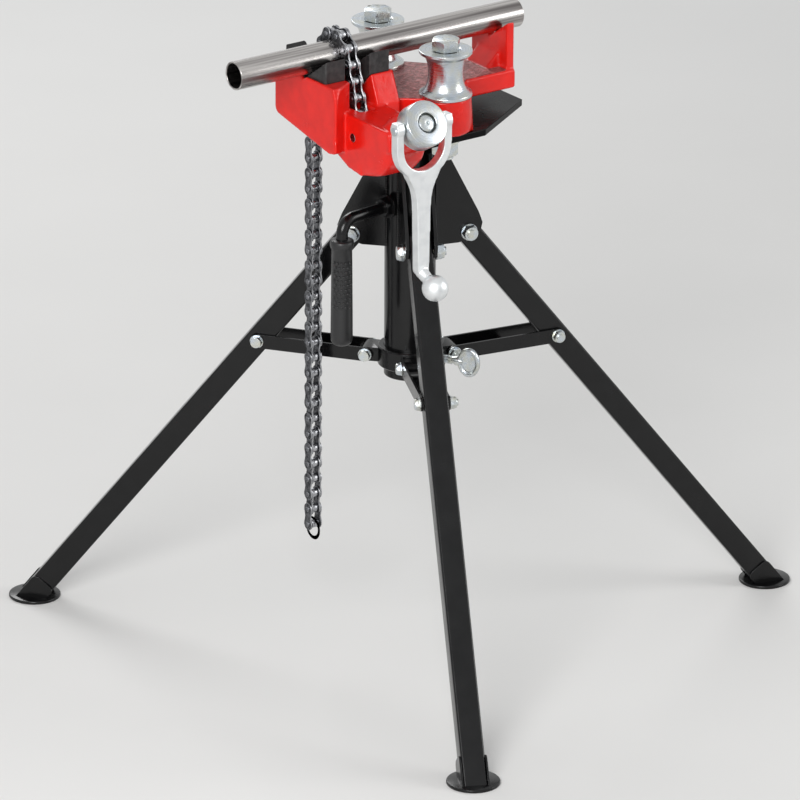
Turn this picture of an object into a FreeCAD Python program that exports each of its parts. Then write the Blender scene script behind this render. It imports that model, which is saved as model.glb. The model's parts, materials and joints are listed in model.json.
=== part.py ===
"""Tripod pipe vise stand with a chain vise, bending rollers, pipe rest and three folding legs.

Row frame in mm: origin on the floor under the column axis, +Z up, +X along the pipe towards
the pipe rest, the operator stands on the -Y side. Each node is written as one STEP file.
"""
import FreeCAD, Part
import math
import os

V = FreeCAD.Vector
X_AXIS = V(1, 0, 0)
Y_AXIS = V(0, 1, 0)
Z_AXIS = V(0, 0, 1)

# --- clearances -------------------------------------------------------------------------
SEAT_GAP = 0.3            # between curved faces of two bodies that only rest together
RUN_GAP = 0.4             # radial play of the collar on the column
SIDE_GAP = 0.8            # side play between a leg and the brace flanges
PIN_GAP = 0.3             # radial play in a hinge bore

# --- stand ------------------------------------------------------------------------------
COLUMN_OD = 60.3
COLUMN_WALL = 3.2
PIVOT_Z = 500.0           # leg pivots above the floor
PIVOT_R = 66.0
LEG_SPREAD = 38.3         # degrees from the vertical when open
LEG_SIZE = 28.0           # square tube
LEG_WALL = 2.0
LEG_HEAD = 15.0           # tube above the pivot
BRACE_DIST = 184.0        # from the leg pivot to the brace bolt, along the leg
COLLAR_PIN_R = 50.0
COLLAR_DROP = 150.0       # from the leg pivots down to the collar
COLLAR_Z = PIVOT_Z - COLLAR_DROP
COLLAR_H = 24.0
COLLAR_WALL = 7.0
LEG_BOLT_D = 10.0
BRACE_BOLT_D = 8.0
BRACKET_T = 4.0
BRACE_T = 2.5
BRACE_H = 17.0
FOOT_D = 62.0
FOOT_T = 4.0
SLEEVE_LEN = 26.0
SLEEVE_WALL = 2.0
FRONT_AZ = 243.4          # the legs stand closer to the front one than to each other
REAR_AZ = 132.0
SIDE_AZ = -16.0

# --- head -------------------------------------------------------------------------------
PLATE_RISE = 145.0        # plate top above the leg pivots
PLATE_TOP = PIVOT_Z + PLATE_RISE
PLATE_T = 8.0
DECK_H = 44.0
PIPE_H = 97.0             # pipe axis above the plate
PIPE_OD = 33.4
PIPE_WALL = 2.0
PIPE_X0 = -250.0
PIPE_LEN = 400.0
V_SLOPE = 35.0            # degrees, each side of the V jaws and of the pipe rest
CHAIN_X = -105.0          # plane of the chain
CHAIN_GAP = 34.0          # opening between the two jaws
JAW_LEN = 28.0            # each jaw along the pipe
JAW_HALF = 40.0           # half width of a jaw across the pipe
JAW_SIDE = 26.0           # upright side of a jaw above its shelf
JAW_BEVEL = 14.0          # slope below the side that centres the jaw
JAW_EDGE = 1.5
TOOTH = 1.2
TEETH = 6
END_WALL = 4.0            # casting beyond the outer end of each jaw
BLOCK_LOW = -2.0          # underside of the left block, from the plate top
BLOCK_FAR = 56.0          # blocks under the jaws, far side of the pipe axis
BLOCK_NEAR = 66.0         # end of the left block, near side
BLOCK_RAKE = 18.0         # its near side comes in by this much towards the chain
THROAT_FAR = 36.0         # floor between the blocks
THROAT_NEAR = 50.0
ROLLER_Y = 67.0
ROLLER_H = 55.0
ROLLER_R = 31.0
ROLLER_WAIST = 20.3
ROLLER_BOLT_D = 20.0
REST_X1 = 122.0           # outer face of the pipe rest
REST_T = 10.0
REST_HALF = 35.0
REST_BEAM_HALF = 38.0
REST_BEAM_H = 24.0

# --- tension screw, nut and fork handle -------------------------------------------------
SCREW_TILT = 31.0         # degrees above the horizontal
SCREW_D = 20.0
NUT_D = 54.0
NUT_LEN = 26.0
NUT_FACE_Y = -176.0
NUT_FACE_H = 62.0
NUT_RECESS_D = 24.0
WASHER_T = 3.0
ARM_WIDTH = 56.0
HUB_D = 48.0
HUB_LEN = 30.0
GUIDE_Y = -68.0           # cross pin that turns the chain into the arm
GUIDE_PIN_D = 10.0
FORK_ARM = 12.0
FORK_DEPTH = 14.0
FORK_SHAFT_W = 20.0
FORK_LEN = 190.0          # from the trunnions down to the ball
BALL_D = 31.0

# --- chain ------------------------------------------------------------------------------
PITCH = 19.05
LINK_H = 15.0
LINK_T = 1.9
LINK_GAP = 8.0
LINK_WAIST = 0.72         # share of the link height left between two pins
CHAIN_PIN_D = 6.4
PIN_HEAD = 1.2
TAIL_Y = 47.0
HOOK_H = 46.0             # where the chain turns down, above the plate
SEGMENT_LINKS = 7
TAIL_SEGMENTS = 4
RING_R = 12.0
RING_WIRE = 4.6

# --- rod handle and thumb screw ---------------------------------------------------------
HANDLE_RISE = 42.0        # rod above the leg pivots
HANDLE_Z = PIVOT_Z + HANDLE_RISE
HANDLE_X = -110.0         # grip axis before the handle is turned to its heading
HANDLE_TURN = 8.0
ROD_D = 14.0
ROD_BEND = 18.0
GRIP_D = 26.0
GRIP_LEN = 130.0
GRIP_DROP = 23.0          # top of the grip below the rod
GRIP_TOP = HANDLE_Z - GRIP_DROP
THUMB_AZ = 300.0
THUMB_SHANK_D = 10.0
THUMB_TIP_R = 90.0


# --- helpers ----------------------------------------------------------------------------
def box(x0, x1, y0, y1, z0, z1):
    return Part.makeBox(x1 - x0, y1 - y0, z1 - z0, V(x0, y0, z0))


def rod(diameter, start, direction, length):
    return Part.makeCylinder(diameter / 2.0, length, start, direction)


def prism(points, sweep):
    wire = Part.makePolygon(points + [points[0]])
    return Part.Face(wire).extrude(sweep)


def yz_prism(outline, x0, x1):
    return prism([V(x0, y, z) for y, z in outline], V(x1 - x0, 0, 0))


def xz_prism(outline, y0, y1):
    return prism([V(x, y0, z) for x, z in outline], V(0, y1 - y0, 0))


def xy_prism(outline, z0, z1):
    return prism([V(x, y, z0) for x, y in outline], V(0, 0, z1 - z0))


def turned(profile, centre, axis):
    """Solid of revolution: profile holds (radius, height) pairs along the axis."""
    points = [V(r, 0, h) for r, h in profile]
    wire = Part.makePolygon(points + [points[0]])
    solid = Part.Face(wire).revolve(V(0, 0, 0), Z_AXIS, 360)
    solid.Placement = FreeCAD.Placement(centre, FreeCAD.Rotation(Z_AXIS, axis))
    return solid


def hexagon(flats, start, axis, height):
    """Hexagonal prism with its corners turned off at the free end."""
    corner = flats / math.sqrt(3)
    ring = [V(corner * math.cos(math.radians(a)), corner * math.sin(math.radians(a)), 0)
            for a in range(0, 360, 60)]
    solid = prism(ring, V(0, 0, height))
    cone = Part.makeCone(corner * 1.25, flats * 0.47, height * 1.35, V(0, 0, -height * 0.35))
    solid = solid.common(cone)
    solid.Placement = FreeCAD.Placement(start, FreeCAD.Rotation(Z_AXIS, axis))
    return solid


def edges_along(solid, axis):
    """Straight edges of a solid that run parallel to the axis."""
    found = []
    for edge in solid.Edges:
        if isinstance(edge.Curve, Part.Line) or isinstance(edge.Curve, Part.LineSegment):
            if abs(edge.tangentAt(edge.FirstParameter).dot(axis)) > 0.999:
                found.append(edge)
    return found


def around(solid, azimuth):
    """Copy of a solid turned about the column axis."""
    copy = solid.copy()
    copy.rotate(V(0, 0, 0), Z_AXIS, azimuth)
    return copy


def fuse(solids):
    return solids[0].multiFuse(solids[1:]).removeSplitter()


def write(name, solid):
    solid.exportStep("parts/%s.step" % name)


# --- leg geometry -----------------------------------------------------------------------
LEG_DIR = V(math.sin(math.radians(LEG_SPREAD)), 0, -math.cos(math.radians(LEG_SPREAD)))
PIVOT = V(PIVOT_R, 0, PIVOT_Z)
BRACE_END = PIVOT + LEG_DIR * BRACE_DIST
COLLAR_PIN = V(COLLAR_PIN_R, 0, COLLAR_Z)
LEG_HALF = LEG_SIZE / 2.0
BRACE_IN = LEG_HALF + SIDE_GAP
BRACE_OUT = BRACE_IN + BRACE_T
BRACKET_IN = LEG_HALF + SIDE_GAP
BRACKET_OUT = BRACKET_IN + BRACKET_T
COLUMN_R = COLUMN_OD / 2.0


def along_leg(solid):
    """Place a solid, drawn hanging below the origin, on an open leg."""
    solid.rotate(V(0, 0, 0), Y_AXIS, -LEG_SPREAD)
    solid.translate(PIVOT)
    return solid


def square_tube(size, wall, top, bottom):
    half = size / 2.0
    outer = box(-half, half, -half, half, bottom, top)
    corners = edges_along(outer, Z_AXIS)
    outer = outer.makeFillet(wall * 1.4, corners)
    inner = half - wall
    return outer.cut(box(-inner, inner, -inner, inner, bottom - 1, top + 1))


def floor_cut(solid, height):
    reach = PIVOT_Z
    return solid.cut(box(-reach, reach * 2, -reach, reach, -reach, height))


def leg():
    length = (PIVOT_Z - FOOT_T) / math.cos(math.radians(LEG_SPREAD)) + LEG_SIZE
    tube = square_tube(LEG_SIZE, LEG_WALL, LEG_HEAD, -length)
    bore = LEG_BOLT_D + 2 * PIN_GAP
    tube = tube.cut(rod(bore, V(0, -LEG_SIZE, 0), Y_AXIS, LEG_SIZE * 2))
    brace_bore = rod(BRACE_BOLT_D + 2 * PIN_GAP, V(0, -LEG_SIZE, -BRACE_DIST), Y_AXIS, LEG_SIZE * 2)
    tube = along_leg(tube.cut(brace_bore))
    return floor_cut(tube, FOOT_T)


def foot():
    """Round foot plate with the short sleeve that the leg end is welded in."""
    run = (PIVOT_Z - FOOT_T) / math.cos(math.radians(LEG_SPREAD))
    centre = PIVOT + LEG_DIR * run
    rim = FOOT_D / 2.0
    edge = FOOT_T * 0.35
    disc = turned([(0, 0), (rim, 0), (rim, FOOT_T - edge), (rim - edge, FOOT_T), (0, FOOT_T)],
                  V(centre.x, 0, 0), Z_AXIS)
    size = LEG_SIZE + 2 * SLEEVE_WALL
    sleeve = square_tube(size, SLEEVE_WALL, -run + SLEEVE_LEN, -run - size)
    sleeve = floor_cut(along_leg(sleeve), FOOT_T)
    return disc.fuse(sleeve)


def hardware(centre, side, inner, diameter, flats, head_h, nut_h, through):
    """Hex bolt across a hinge: washers and head on one side, washer and nut on the other."""
    washer_t = diameter * 0.16
    washer_d = diameter * 2.0
    pieces = []
    for sign, height in ((side, head_h), (-side, nut_h)):
        axis = V(0, sign, 0)
        seat = centre + axis * inner
        pieces.append(rod(washer_d, seat, axis, washer_t))
        pieces.append(hexagon(flats, seat + axis * washer_t, axis, height))
    nut_axis = V(0, -side, 0)
    tail = inner + washer_t + nut_h + diameter * 0.25
    if through:
        shank = rod(diameter, centre - nut_axis * inner, nut_axis, inner + tail)
        return fuse(pieces + [shank])
    for sign in (side, -side):
        axis = V(0, sign, 0)
        pieces.append(rod(diameter, centre + axis * BRACE_IN, axis, BRACE_T))
    pieces.append(rod(diameter, centre + nut_axis * inner, nut_axis, tail - inner))
    halves = [p for p in pieces if p.BoundBox.Center.y * side > 0]
    others = [p for p in pieces if p.BoundBox.Center.y * side < 0]
    return Part.makeCompound([fuse(halves), fuse(others)])


def brace():
    """Channel brace from the collar lug to the leg; its bottom web stops short of both."""
    run = BRACE_END - COLLAR_PIN
    length = run.Length
    half = BRACE_H / 2.0
    flanges = []
    for y0 in (BRACE_IN, -BRACE_OUT):
        bar = box(0, length, y0, y0 + BRACE_T, -half, half)
        for x in (0, length):
            bar = bar.fuse(rod(BRACE_H, V(x, y0, 0), Y_AXIS, BRACE_T))
        for x in (0, length):
            bar = bar.cut(rod(BRACE_BOLT_D, V(x, y0 - 1, 0), Y_AXIS, BRACE_T + 2))
        flanges.append(bar)
    web_start = BRACE_H * 0.85
    web_end = length * 0.56
    web = box(web_start, web_end, -BRACE_OUT, BRACE_OUT, -half, -half + BRACE_T)
    channel = fuse(flanges + [web])
    drop = math.degrees(math.atan2(-run.z, run.x))
    channel.rotate(V(0, 0, 0), Y_AXIS, drop)
    channel.translate(COLLAR_PIN)
    return channel


def brackets():
    """Pairs of welded gusset plates that hold the leg pivots."""
    low = PIVOT_Z - 12
    outline = [(COLUMN_R - 10, low), (PIVOT_R - 12, low), (PIVOT_R + 14, PIVOT_Z - 3),
               (PIVOT_R + 17, PIVOT_Z + 10), (PIVOT_R + 12, PIVOT_Z + 24),
               (COLUMN_R + 2, PIVOT_Z + 114), (COLUMN_R - 10, PIVOT_Z + 114)]
    bore = rod(LEG_BOLT_D, V(PIVOT_R, -COLUMN_OD, PIVOT_Z), Y_AXIS, COLUMN_OD * 2)
    plates = []
    for y0 in (BRACKET_IN, -BRACKET_OUT):
        plates.append(xz_prism(outline, y0, y0 + BRACKET_T))
    solids = []
    for azimuth in (SIDE_AZ, REAR_AZ, FRONT_AZ):
        for plate in plates:
            solids.append(around(plate.cut(bore), azimuth))
    column = rod(COLUMN_OD, V(0, 0, 0), Z_AXIS, PLATE_TOP)
    return Part.makeCompound([s.cut(column) for s in solids])


def pivot_bolts():
    solids = []
    for azimuth, side in ((SIDE_AZ, 1), (REAR_AZ, 1), (FRONT_AZ, -1)):
        bolt = hardware(PIVOT, side, BRACKET_OUT, LEG_BOLT_D, 17.0, 6.4, 8.0, True)
        solids.append(around(bolt, azimuth))
    return Part.makeCompound(solids)


def collar_bolts():
    solids = []
    for azimuth, side in ((SIDE_AZ, 1), (REAR_AZ, 1), (FRONT_AZ, -1)):
        bolt = hardware(COLLAR_PIN, side, BRACE_OUT + SEAT_GAP, BRACE_BOLT_D, 13.0, 5.3, 6.5, True)
        solids.append(around(bolt, azimuth))
    return Part.makeCompound(solids)


def brace_bolt(side):
    return hardware(BRACE_END, side, BRACE_OUT, BRACE_BOLT_D, 13.0, 5.3, 6.5, False)


def column():
    height = PLATE_TOP - PLATE_T
    bottom = COLLAR_Z - COLLAR_H
    tube = rod(COLUMN_OD, V(0, 0, bottom), Z_AXIS, height - bottom)
    bore = rod(COLUMN_OD - 2 * COLUMN_WALL, V(0, 0, bottom - 1), Z_AXIS, height - bottom + 2)
    return tube.cut(bore)


def thumb_direction():
    angle = math.radians(THUMB_AZ)
    return V(math.cos(angle), math.sin(angle), 0)


def collar():
    """Sliding ring with three brace lugs and a tapped boss for the thumb screw."""
    inner = COLUMN_R + RUN_GAP
    outer = inner + COLLAR_WALL
    half = COLLAR_H / 2.0
    edge = 1.5
    ring = [(inner, -half), (outer - edge, -half), (outer, -half + edge), (outer, half - edge),
            (outer - edge, half), (inner, half)]
    band = turned(ring, V(0, 0, COLLAR_Z), Z_AXIS)
    tip = BRACE_H / 2.0
    bore = rod(BRACE_BOLT_D + 2 * PIN_GAP, COLLAR_PIN - V(0, COLUMN_OD, 0), Y_AXIS, COLUMN_OD * 2)
    lug = box(inner + 3, COLLAR_PIN_R, -LEG_HALF, LEG_HALF, COLLAR_Z - tip, COLLAR_Z + tip)
    lug = lug.fuse(rod(BRACE_H, COLLAR_PIN - V(0, LEG_HALF, 0), Y_AXIS, LEG_SIZE))
    lug = lug.cut(bore)
    core = rod(inner * 2, V(0, 0, COLLAR_Z - COLLAR_H), Z_AXIS, COLLAR_H * 2)
    outward = thumb_direction()
    boss = rod(20.0, V(0, 0, COLLAR_Z) + outward * (inner + 2), outward, COLLAR_WALL + 4)
    solids = [band] + [around(lug, a) for a in (SIDE_AZ, REAR_AZ, FRONT_AZ)] + [boss]
    hole = rod(THUMB_SHANK_D + 2 * PIN_GAP, V(0, 0, COLLAR_Z), outward, COLUMN_OD)
    return fuse(solids).cut(core).cut(hole)


def thumb_screw():
    """Spade screw: threaded shank and a flat recessed oval wing."""
    outward = thumb_direction()
    start = V(0, 0, COLLAR_Z) + outward * (COLUMN_R + SEAT_GAP)
    wing_len = 28.0
    wing_h = 36.0
    wing_t = 5.0
    shank = rod(THUMB_SHANK_D, V(0, 0, 0), X_AXIS, THUMB_TIP_R - COLUMN_R - wing_len + 3)
    neck = Part.makeCone(THUMB_SHANK_D / 2.0 + 1.5, 3.0, 6.0, V(shank.BoundBox.XMax - 6, 0, 0), X_AXIS)
    wing = rod(wing_h, V(0, wing_t / 2.0, 0), V(0, -1, 0), wing_t)
    squash = FreeCAD.Matrix()
    squash.scale(wing_len / wing_h, 1, 1)
    wing = wing.transformGeometry(squash)
    dish = rod(wing_h - 10, V(0, wing_t / 2.0, 0), V(0, -1, 0), 1.4)
    dish = dish.transformGeometry(squash)
    far_dish = dish.mirror(V(0, 0, 0), Y_AXIS)
    wing = wing.cut(dish).cut(far_dish)
    wing.translate(V(THUMB_TIP_R - COLUMN_R - wing_len / 2.0, 0, 0))
    screw = fuse([shank, neck, wing])
    screw.rotate(V(0, 0, 0), Z_AXIS, THUMB_AZ)
    screw.translate(start)
    return screw


def rod_handle():
    """L-shaped rod screwed to the column with a hex flange."""
    start_x = -COLUMN_R
    corner = V(HANDLE_X, 0, HANDLE_Z)
    end_z = GRIP_TOP - GRIP_LEN + 12
    mid = ROD_BEND * (1 - math.cos(math.radians(45)))
    first = Part.LineSegment(V(start_x, 0, HANDLE_Z), corner + V(ROD_BEND, 0, 0)).toShape()
    bend = Part.Arc(corner + V(ROD_BEND, 0, 0), corner + V(mid, 0, -mid),
                    corner - V(0, 0, ROD_BEND)).toShape()
    drop = Part.LineSegment(corner - V(0, 0, ROD_BEND), V(HANDLE_X, 0, end_z)).toShape()
    path = Part.Wire([first, bend, drop])
    section = Part.Wire([Part.Circle(V(start_x, 0, HANDLE_Z), X_AXIS, ROD_D / 2.0).toShape()])
    bar = path.makePipeShell([section], True, False)
    out = V(-1, 0, 0)
    neck = rod(ROD_D + 2, V(start_x + 3, 0, HANDLE_Z), out, BRACKET_T + 5)
    flange = rod(ROD_D * 2.0, V(start_x - BRACKET_T - 0.6, 0, HANDLE_Z), out, 4.0)
    nut = hexagon(ROD_D * 1.55, V(start_x - BRACKET_T - 4, 0, HANDLE_Z), out, 9.0)
    keep_off = rod(COLUMN_OD, V(0, 0, HANDLE_Z - COLUMN_OD), Z_AXIS, COLUMN_OD * 2)
    return around(fuse([bar, neck, flange, nut]).cut(keep_off), HANDLE_TURN)


def grip():
    """Moulded sleeve with a rolled top, a closed round end and rows of raised dots."""
    r = GRIP_D / 2.0
    bore = ROD_D / 2.0
    floor = 12.0
    shape = [(bore, GRIP_LEN), (r - 1.5, GRIP_LEN), (r + 1, GRIP_LEN - 2.5), (r + 1, GRIP_LEN - 8),
             (r - 1, GRIP_LEN - 11), (r - 0.5, GRIP_LEN * 0.5), (r, 8), (r - 3, 2), (r - 7, 0),
             (0, 0), (0, floor), (bore, floor)]
    sleeve = turned(shape, V(HANDLE_X, 0, GRIP_TOP - GRIP_LEN), Z_AXIS)
    dots = []
    for row in range(9):
        for azimuth in (200, 224, 248):
            angle = math.radians(azimuth + 12 * (row % 2))
            out = V(math.cos(angle), math.sin(angle), 0)
            base = V(HANDLE_X, 0, GRIP_TOP - GRIP_LEN * 0.27 - row * 6.0)
            dots.append(Part.makeCone(1.9, 1.1, 2.2, base + out * (r - 1.4), out))
    return around(fuse([sleeve] + dots), HANDLE_TURN)


# --- head -------------------------------------------------------------------------------
SLOPE = math.tan(math.radians(V_SLOPE))
PIPE_R = PIPE_OD / 2.0
V_ROOT = PIPE_H - (PIPE_R + SEAT_GAP) / math.cos(math.radians(V_SLOPE))
JAW_SHELF = V_ROOT + JAW_HALF * SLOPE - JAW_SIDE
JAW_ROOT = JAW_SHELF - JAW_BEVEL
LEFT_X1 = CHAIN_X - CHAIN_GAP / 2.0
LEFT_X0 = LEFT_X1 - JAW_LEN
RIGHT_X0 = CHAIN_X + CHAIN_GAP / 2.0
RIGHT_X1 = RIGHT_X0 + JAW_LEN
JAW_SPANS = ((LEFT_X0, LEFT_X1), (RIGHT_X0, RIGHT_X1))
BODY_X0 = LEFT_X0 - END_WALL
BODY_X1 = RIGHT_X1 + END_WALL
JAW_SCREW_D = 5.0
GUIDE_TURN_R = 18.0
TILT = math.radians(SCREW_TILT)
SCREW_DIR = V(0, -math.cos(TILT), math.sin(TILT))
SCREW_NORMAL = V(0, math.sin(TILT), math.cos(TILT))
NUT_FACE = V(CHAIN_X, NUT_FACE_Y, PLATE_TOP + NUT_FACE_H)


def on_screw(depth):
    """Point on the tension screw axis, measured inwards from the nut's front face."""
    return NUT_FACE - SCREW_DIR * depth


GUIDE_DEPTH = (GUIDE_Y - GUIDE_TURN_R * math.sin(TILT) - NUT_FACE_Y) / math.cos(TILT)
GUIDE = on_screw(GUIDE_DEPTH) + SCREW_NORMAL * GUIDE_TURN_R
HUB_DEPTH = NUT_LEN + WASHER_T
ANCHOR_DEPTH = 74.0


def plate():
    """Black base plate welded on the column."""
    outline = [(140, -28), (140, 28), (42, 89), (-40, 89), (-68, 50), (-68, -50), (-40, -89),
               (42, -89)]
    solid = xy_prism(outline, PLATE_TOP - PLATE_T, PLATE_TOP)
    for side in (-1, 1):
        start = V(0, side * ROLLER_Y, PLATE_TOP - PLATE_T * 2)
        solid = solid.cut(rod(ROLLER_BOLT_D + 1, start, Z_AXIS, PLATE_T * 3))
    return solid


def v_wedge(drop, x0, x1):
    """Everything above the V that carries the pipe, lowered by drop."""
    root = PLATE_TOP + V_ROOT - drop
    reach = JAW_HALF * 1.5
    top = root + reach * SLOPE
    return yz_prism([(0, root), (reach, top), (-reach, top)], x0, x1)


def jaw_seat():
    """Lower outline of a jaw insert, from shelf to shelf."""
    shelf = PLATE_TOP + JAW_SHELF
    root = PLATE_TOP + JAW_ROOT
    knee = JAW_HALF - JAW_BEVEL
    return [(-JAW_HALF, shelf), (-knee, root), (knee, root), (JAW_HALF, shelf)]


def jaw_insert(x0, x1):
    """Hardened V jaw with serrated faces and a countersunk screw hole."""
    root = PLATE_TOP + V_ROOT
    step = JAW_HALF / TEETH
    right = []
    for tooth in range(TEETH):
        outer = JAW_HALF - tooth * step
        right.append((outer, root + outer * SLOPE))
        notch = outer - step * 0.5
        right.append((notch, root + notch * SLOPE - TOOTH))
    left = [(-y, z) for y, z in reversed(right)]
    solid = yz_prism(jaw_seat() + right + [(0, root - TOOTH)] + left, x0, x1)
    solid = solid.makeChamfer(JAW_EDGE, [e for e in edges_along(solid, Z_AXIS)
                                         if abs(e.BoundBox.Center.y) > JAW_HALF - 1])
    middle = (x0 + x1) / 2.0
    solid = solid.cut(rod(JAW_SCREW_D, V(middle, 0, PLATE_TOP + JAW_ROOT - 1), Z_AXIS, PIPE_H))
    return solid.cut(rod(JAW_SCREW_D + 4, V(middle, 0, PLATE_TOP + V_ROOT - 5), Z_AXIS, PIPE_H))


def insert_screws():
    """Socket screws that hold the jaw inserts in the casting."""
    solids = []
    for x0, x1 in JAW_SPANS:
        middle = (x0 + x1) / 2.0
        head_z = PLATE_TOP + V_ROOT - 5
        shank = rod(JAW_SCREW_D, V(middle, 0, head_z - 20), Z_AXIS, 20.5)
        head = rod(JAW_SCREW_D + 3.6, V(middle, 0, head_z), Z_AXIS, 3.0)
        key = hexagon(4.0, V(middle, 0, head_z + 1.2), Z_AXIS, 4.0)
        solids.append(shank.fuse(head).cut(key))
    return Part.makeCompound(solids)


def left_block():
    """End block under the left jaw, with a sloping underside and a raked near side."""
    shelf = PLATE_TOP + JAW_SHELF
    low = PLATE_TOP + BLOCK_LOW
    outline = [(-THROAT_NEAR, low), (-BLOCK_NEAR, low + 2), (-BLOCK_NEAR, shelf - 20),
               (-BLOCK_NEAR + 6, shelf), (BLOCK_FAR, shelf), (BLOCK_FAR, low + 22)]
    block = yz_prism(outline, BODY_X0, LEFT_X1)
    round_edges = [e for e in edges_along(block, X_AXIS) if e.BoundBox.Center.z < low + 23]
    block = block.makeFillet(9.0, [e for e in round_edges if abs(e.BoundBox.Center.y) > THROAT_NEAR + 1])
    beyond = BLOCK_NEAR * 2
    rake = xy_prism([(BODY_X0 - 1, -BLOCK_NEAR), (BODY_X0, -BLOCK_NEAR),
                     (LEFT_X1 + 1, -BLOCK_NEAR + BLOCK_RAKE), (LEFT_X1 + 1, -beyond),
                     (BODY_X0 - 1, -beyond)], low - 1, shelf + 1)
    return block.cut(rake)


def right_block():
    """Block under the right jaw whose sides spread towards the deck."""
    shelf = PLATE_TOP + JAW_SHELF
    deck_z = PLATE_TOP + DECK_H
    crown = JAW_HALF + 2
    outline = [(-BLOCK_FAR, PLATE_TOP), (-BLOCK_FAR, deck_z), (-crown, shelf), (crown, shelf),
               (BLOCK_FAR, deck_z), (BLOCK_FAR, PLATE_TOP)]
    return yz_prism(outline, RIGHT_X0, BODY_X1)


def cradle():
    """Two jaw blocks joined by the floor of the throat where the chain passes."""
    deck_z = PLATE_TOP + DECK_H
    low = PLATE_TOP + 4
    slope = 8.0
    floor = yz_prism([(-THROAT_NEAR, low), (-THROAT_NEAR, deck_z), (THROAT_FAR - slope, deck_z),
                      (THROAT_FAR, deck_z - slope), (THROAT_FAR, low)], LEFT_X1 - 1, RIGHT_X0 + 1)
    body = fuse([left_block(), right_block(), floor])
    body = body.cut(v_wedge(JAW_EDGE, BODY_X0 - 1, BODY_X1 + 1))
    top = PLATE_TOP + 2 * PIPE_H
    pocket = [(-JAW_HALF, top)] + jaw_seat() + [(JAW_HALF, top)]
    for x0, x1 in JAW_SPANS:
        body = body.cut(yz_prism(pocket, x0, x1))
    return body


def arm():
    """Wide arm flush with the deck that houses the tension screw, with a round hub."""
    half = ARM_WIDTH / 2.0
    h = PLATE_TOP
    face = on_screw(HUB_DEPTH)
    front = face.y + 9.0
    outline = [(-30, h - 6), (GUIDE_Y + 8, h - 20), (front + 52, h - 24), (front + 24, h - 16),
               (front + 6, h + 2), (front, h + 24), (front + 4, h + DECK_H), (-30, h + DECK_H)]
    body = yz_prism(outline, CHAIN_X - half, CHAIN_X + half)
    soft = [e for e in edges_along(body, X_AXIS) if e.BoundBox.Center.y < -50]
    body = body.makeFillet(6.0, soft)
    hub = rod(HUB_D, face, SCREW_DIR * -1, HUB_LEN)
    return body.fuse(hub)


def arm_hollow():
    """Room inside the arm for the chain, the guide roller and the screw eye."""
    half = LINK_GAP / 2.0 + 2 * LINK_T + PIN_HEAD + 1.2
    front = GUIDE_Y - GUIDE_TURN_R - 6
    slot = GUIDE_Y + 8
    rear = slot + 46
    roof = PLATE_TOP + DECK_H
    low = PLATE_TOP - DECK_H
    well = yz_prism([(rear, roof + 20), (rear, low), (front, low), (front, roof - 18),
                     (slot, roof - 7), (slot, roof + 20)], CHAIN_X - half, CHAIN_X + half)
    start = HUB_DEPTH + HUB_LEN - 6
    length = GUIDE_DEPTH - start
    tall = LINK_H / 2.0 + 2.0
    tunnel = Part.makeBox(2 * half, length, 2 * tall)
    tunnel.translate(V(-half, 0, -tall))
    tunnel.rotate(V(0, 0, 0), X_AXIS, -SCREW_TILT)
    tunnel.translate(on_screw(start))
    bore = rod(SCREW_D + 2 * PIN_GAP, on_screw(HUB_DEPTH - 1), SCREW_DIR * -1, HUB_LEN + 10)
    pin = rod(GUIDE_PIN_D, GUIDE - X_AXIS * ARM_WIDTH, X_AXIS, ARM_WIDTH * 2)
    return [well, tunnel, bore, pin]


def deck():
    """Rough-topped centre of the casting with a round pedestal under each roller."""
    z0 = PLATE_TOP
    z1 = PLATE_TOP + DECK_H
    outline = [(BODY_X1 - 6, -36), (-26, -66), (26, -66), (64, -24), (64, 24), (26, 66), (-26, 66),
               (BODY_X1 - 6, 36)]
    middle = xy_prism(outline, z0, z1)
    pedestals = []
    for side in (-1, 1):
        pedestals.append(Part.makeCone(ROLLER_R + 1.5, ROLLER_R - 1, DECK_H,
                                       V(0, side * ROLLER_Y, z0), Z_AXIS))
    return [middle] + pedestals


def pipe_rest():
    """Beam and upright wall whose V carries the far end of the pipe."""
    deck_z = PLATE_TOP + DECK_H
    low = deck_z - REST_BEAM_H
    root = PLATE_TOP + V_ROOT
    tip = root + REST_HALF * SLOPE
    x0 = REST_X1 - REST_T
    beam = box(40, REST_X1, -REST_BEAM_HALF, REST_BEAM_HALF, low, deck_z)
    beam = beam.makeFillet(4.0, edges_along(beam, X_AXIS))
    wall = yz_prism([(-REST_HALF, low + 5), (-REST_HALF, tip), (0, root), (REST_HALF, tip),
                     (REST_HALF, low + 5)], x0, REST_X1)
    half = REST_HALF - 15
    gusset = xz_prism([(x0 - 22, deck_z - 2), (x0 + 2, deck_z - 2), (x0 + 2, deck_z + 20)],
                      -half, half)
    return [beam, wall, gusset]


def hook_lugs(pin):
    """Two lugs on the far side whose notches catch a chain pin and clear the next one."""
    inner = LINK_GAP / 2.0 + 2 * LINK_T + 0.7
    outer = inner + 9
    lugs = []
    for side in (-1, 1):
        x0, x1 = sorted((CHAIN_X + side * inner, CHAIN_X + side * outer))
        outline = [(THROAT_FAR - 4, pin.z - PITCH + 1), (pin.y + 7, pin.z - PITCH + 8),
                   (pin.y + 7, pin.z + 3), (THROAT_FAR - 4, pin.z + 3)]
        lugs.append(yz_prism(outline, x0, x1))
    span = 2 * (outer + 1)
    start = CHAIN_X - span / 2
    seat = rod(CHAIN_PIN_D + 2 * PIN_GAP, V(start, pin.y, pin.z), X_AXIS, span)
    mouth_half = CHAIN_PIN_D / 2.0 + PIN_GAP
    mouth = box(start, start + span, pin.y - mouth_half, pin.y + mouth_half, pin.z, pin.z + 8)
    return lugs, [seat, mouth]


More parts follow.
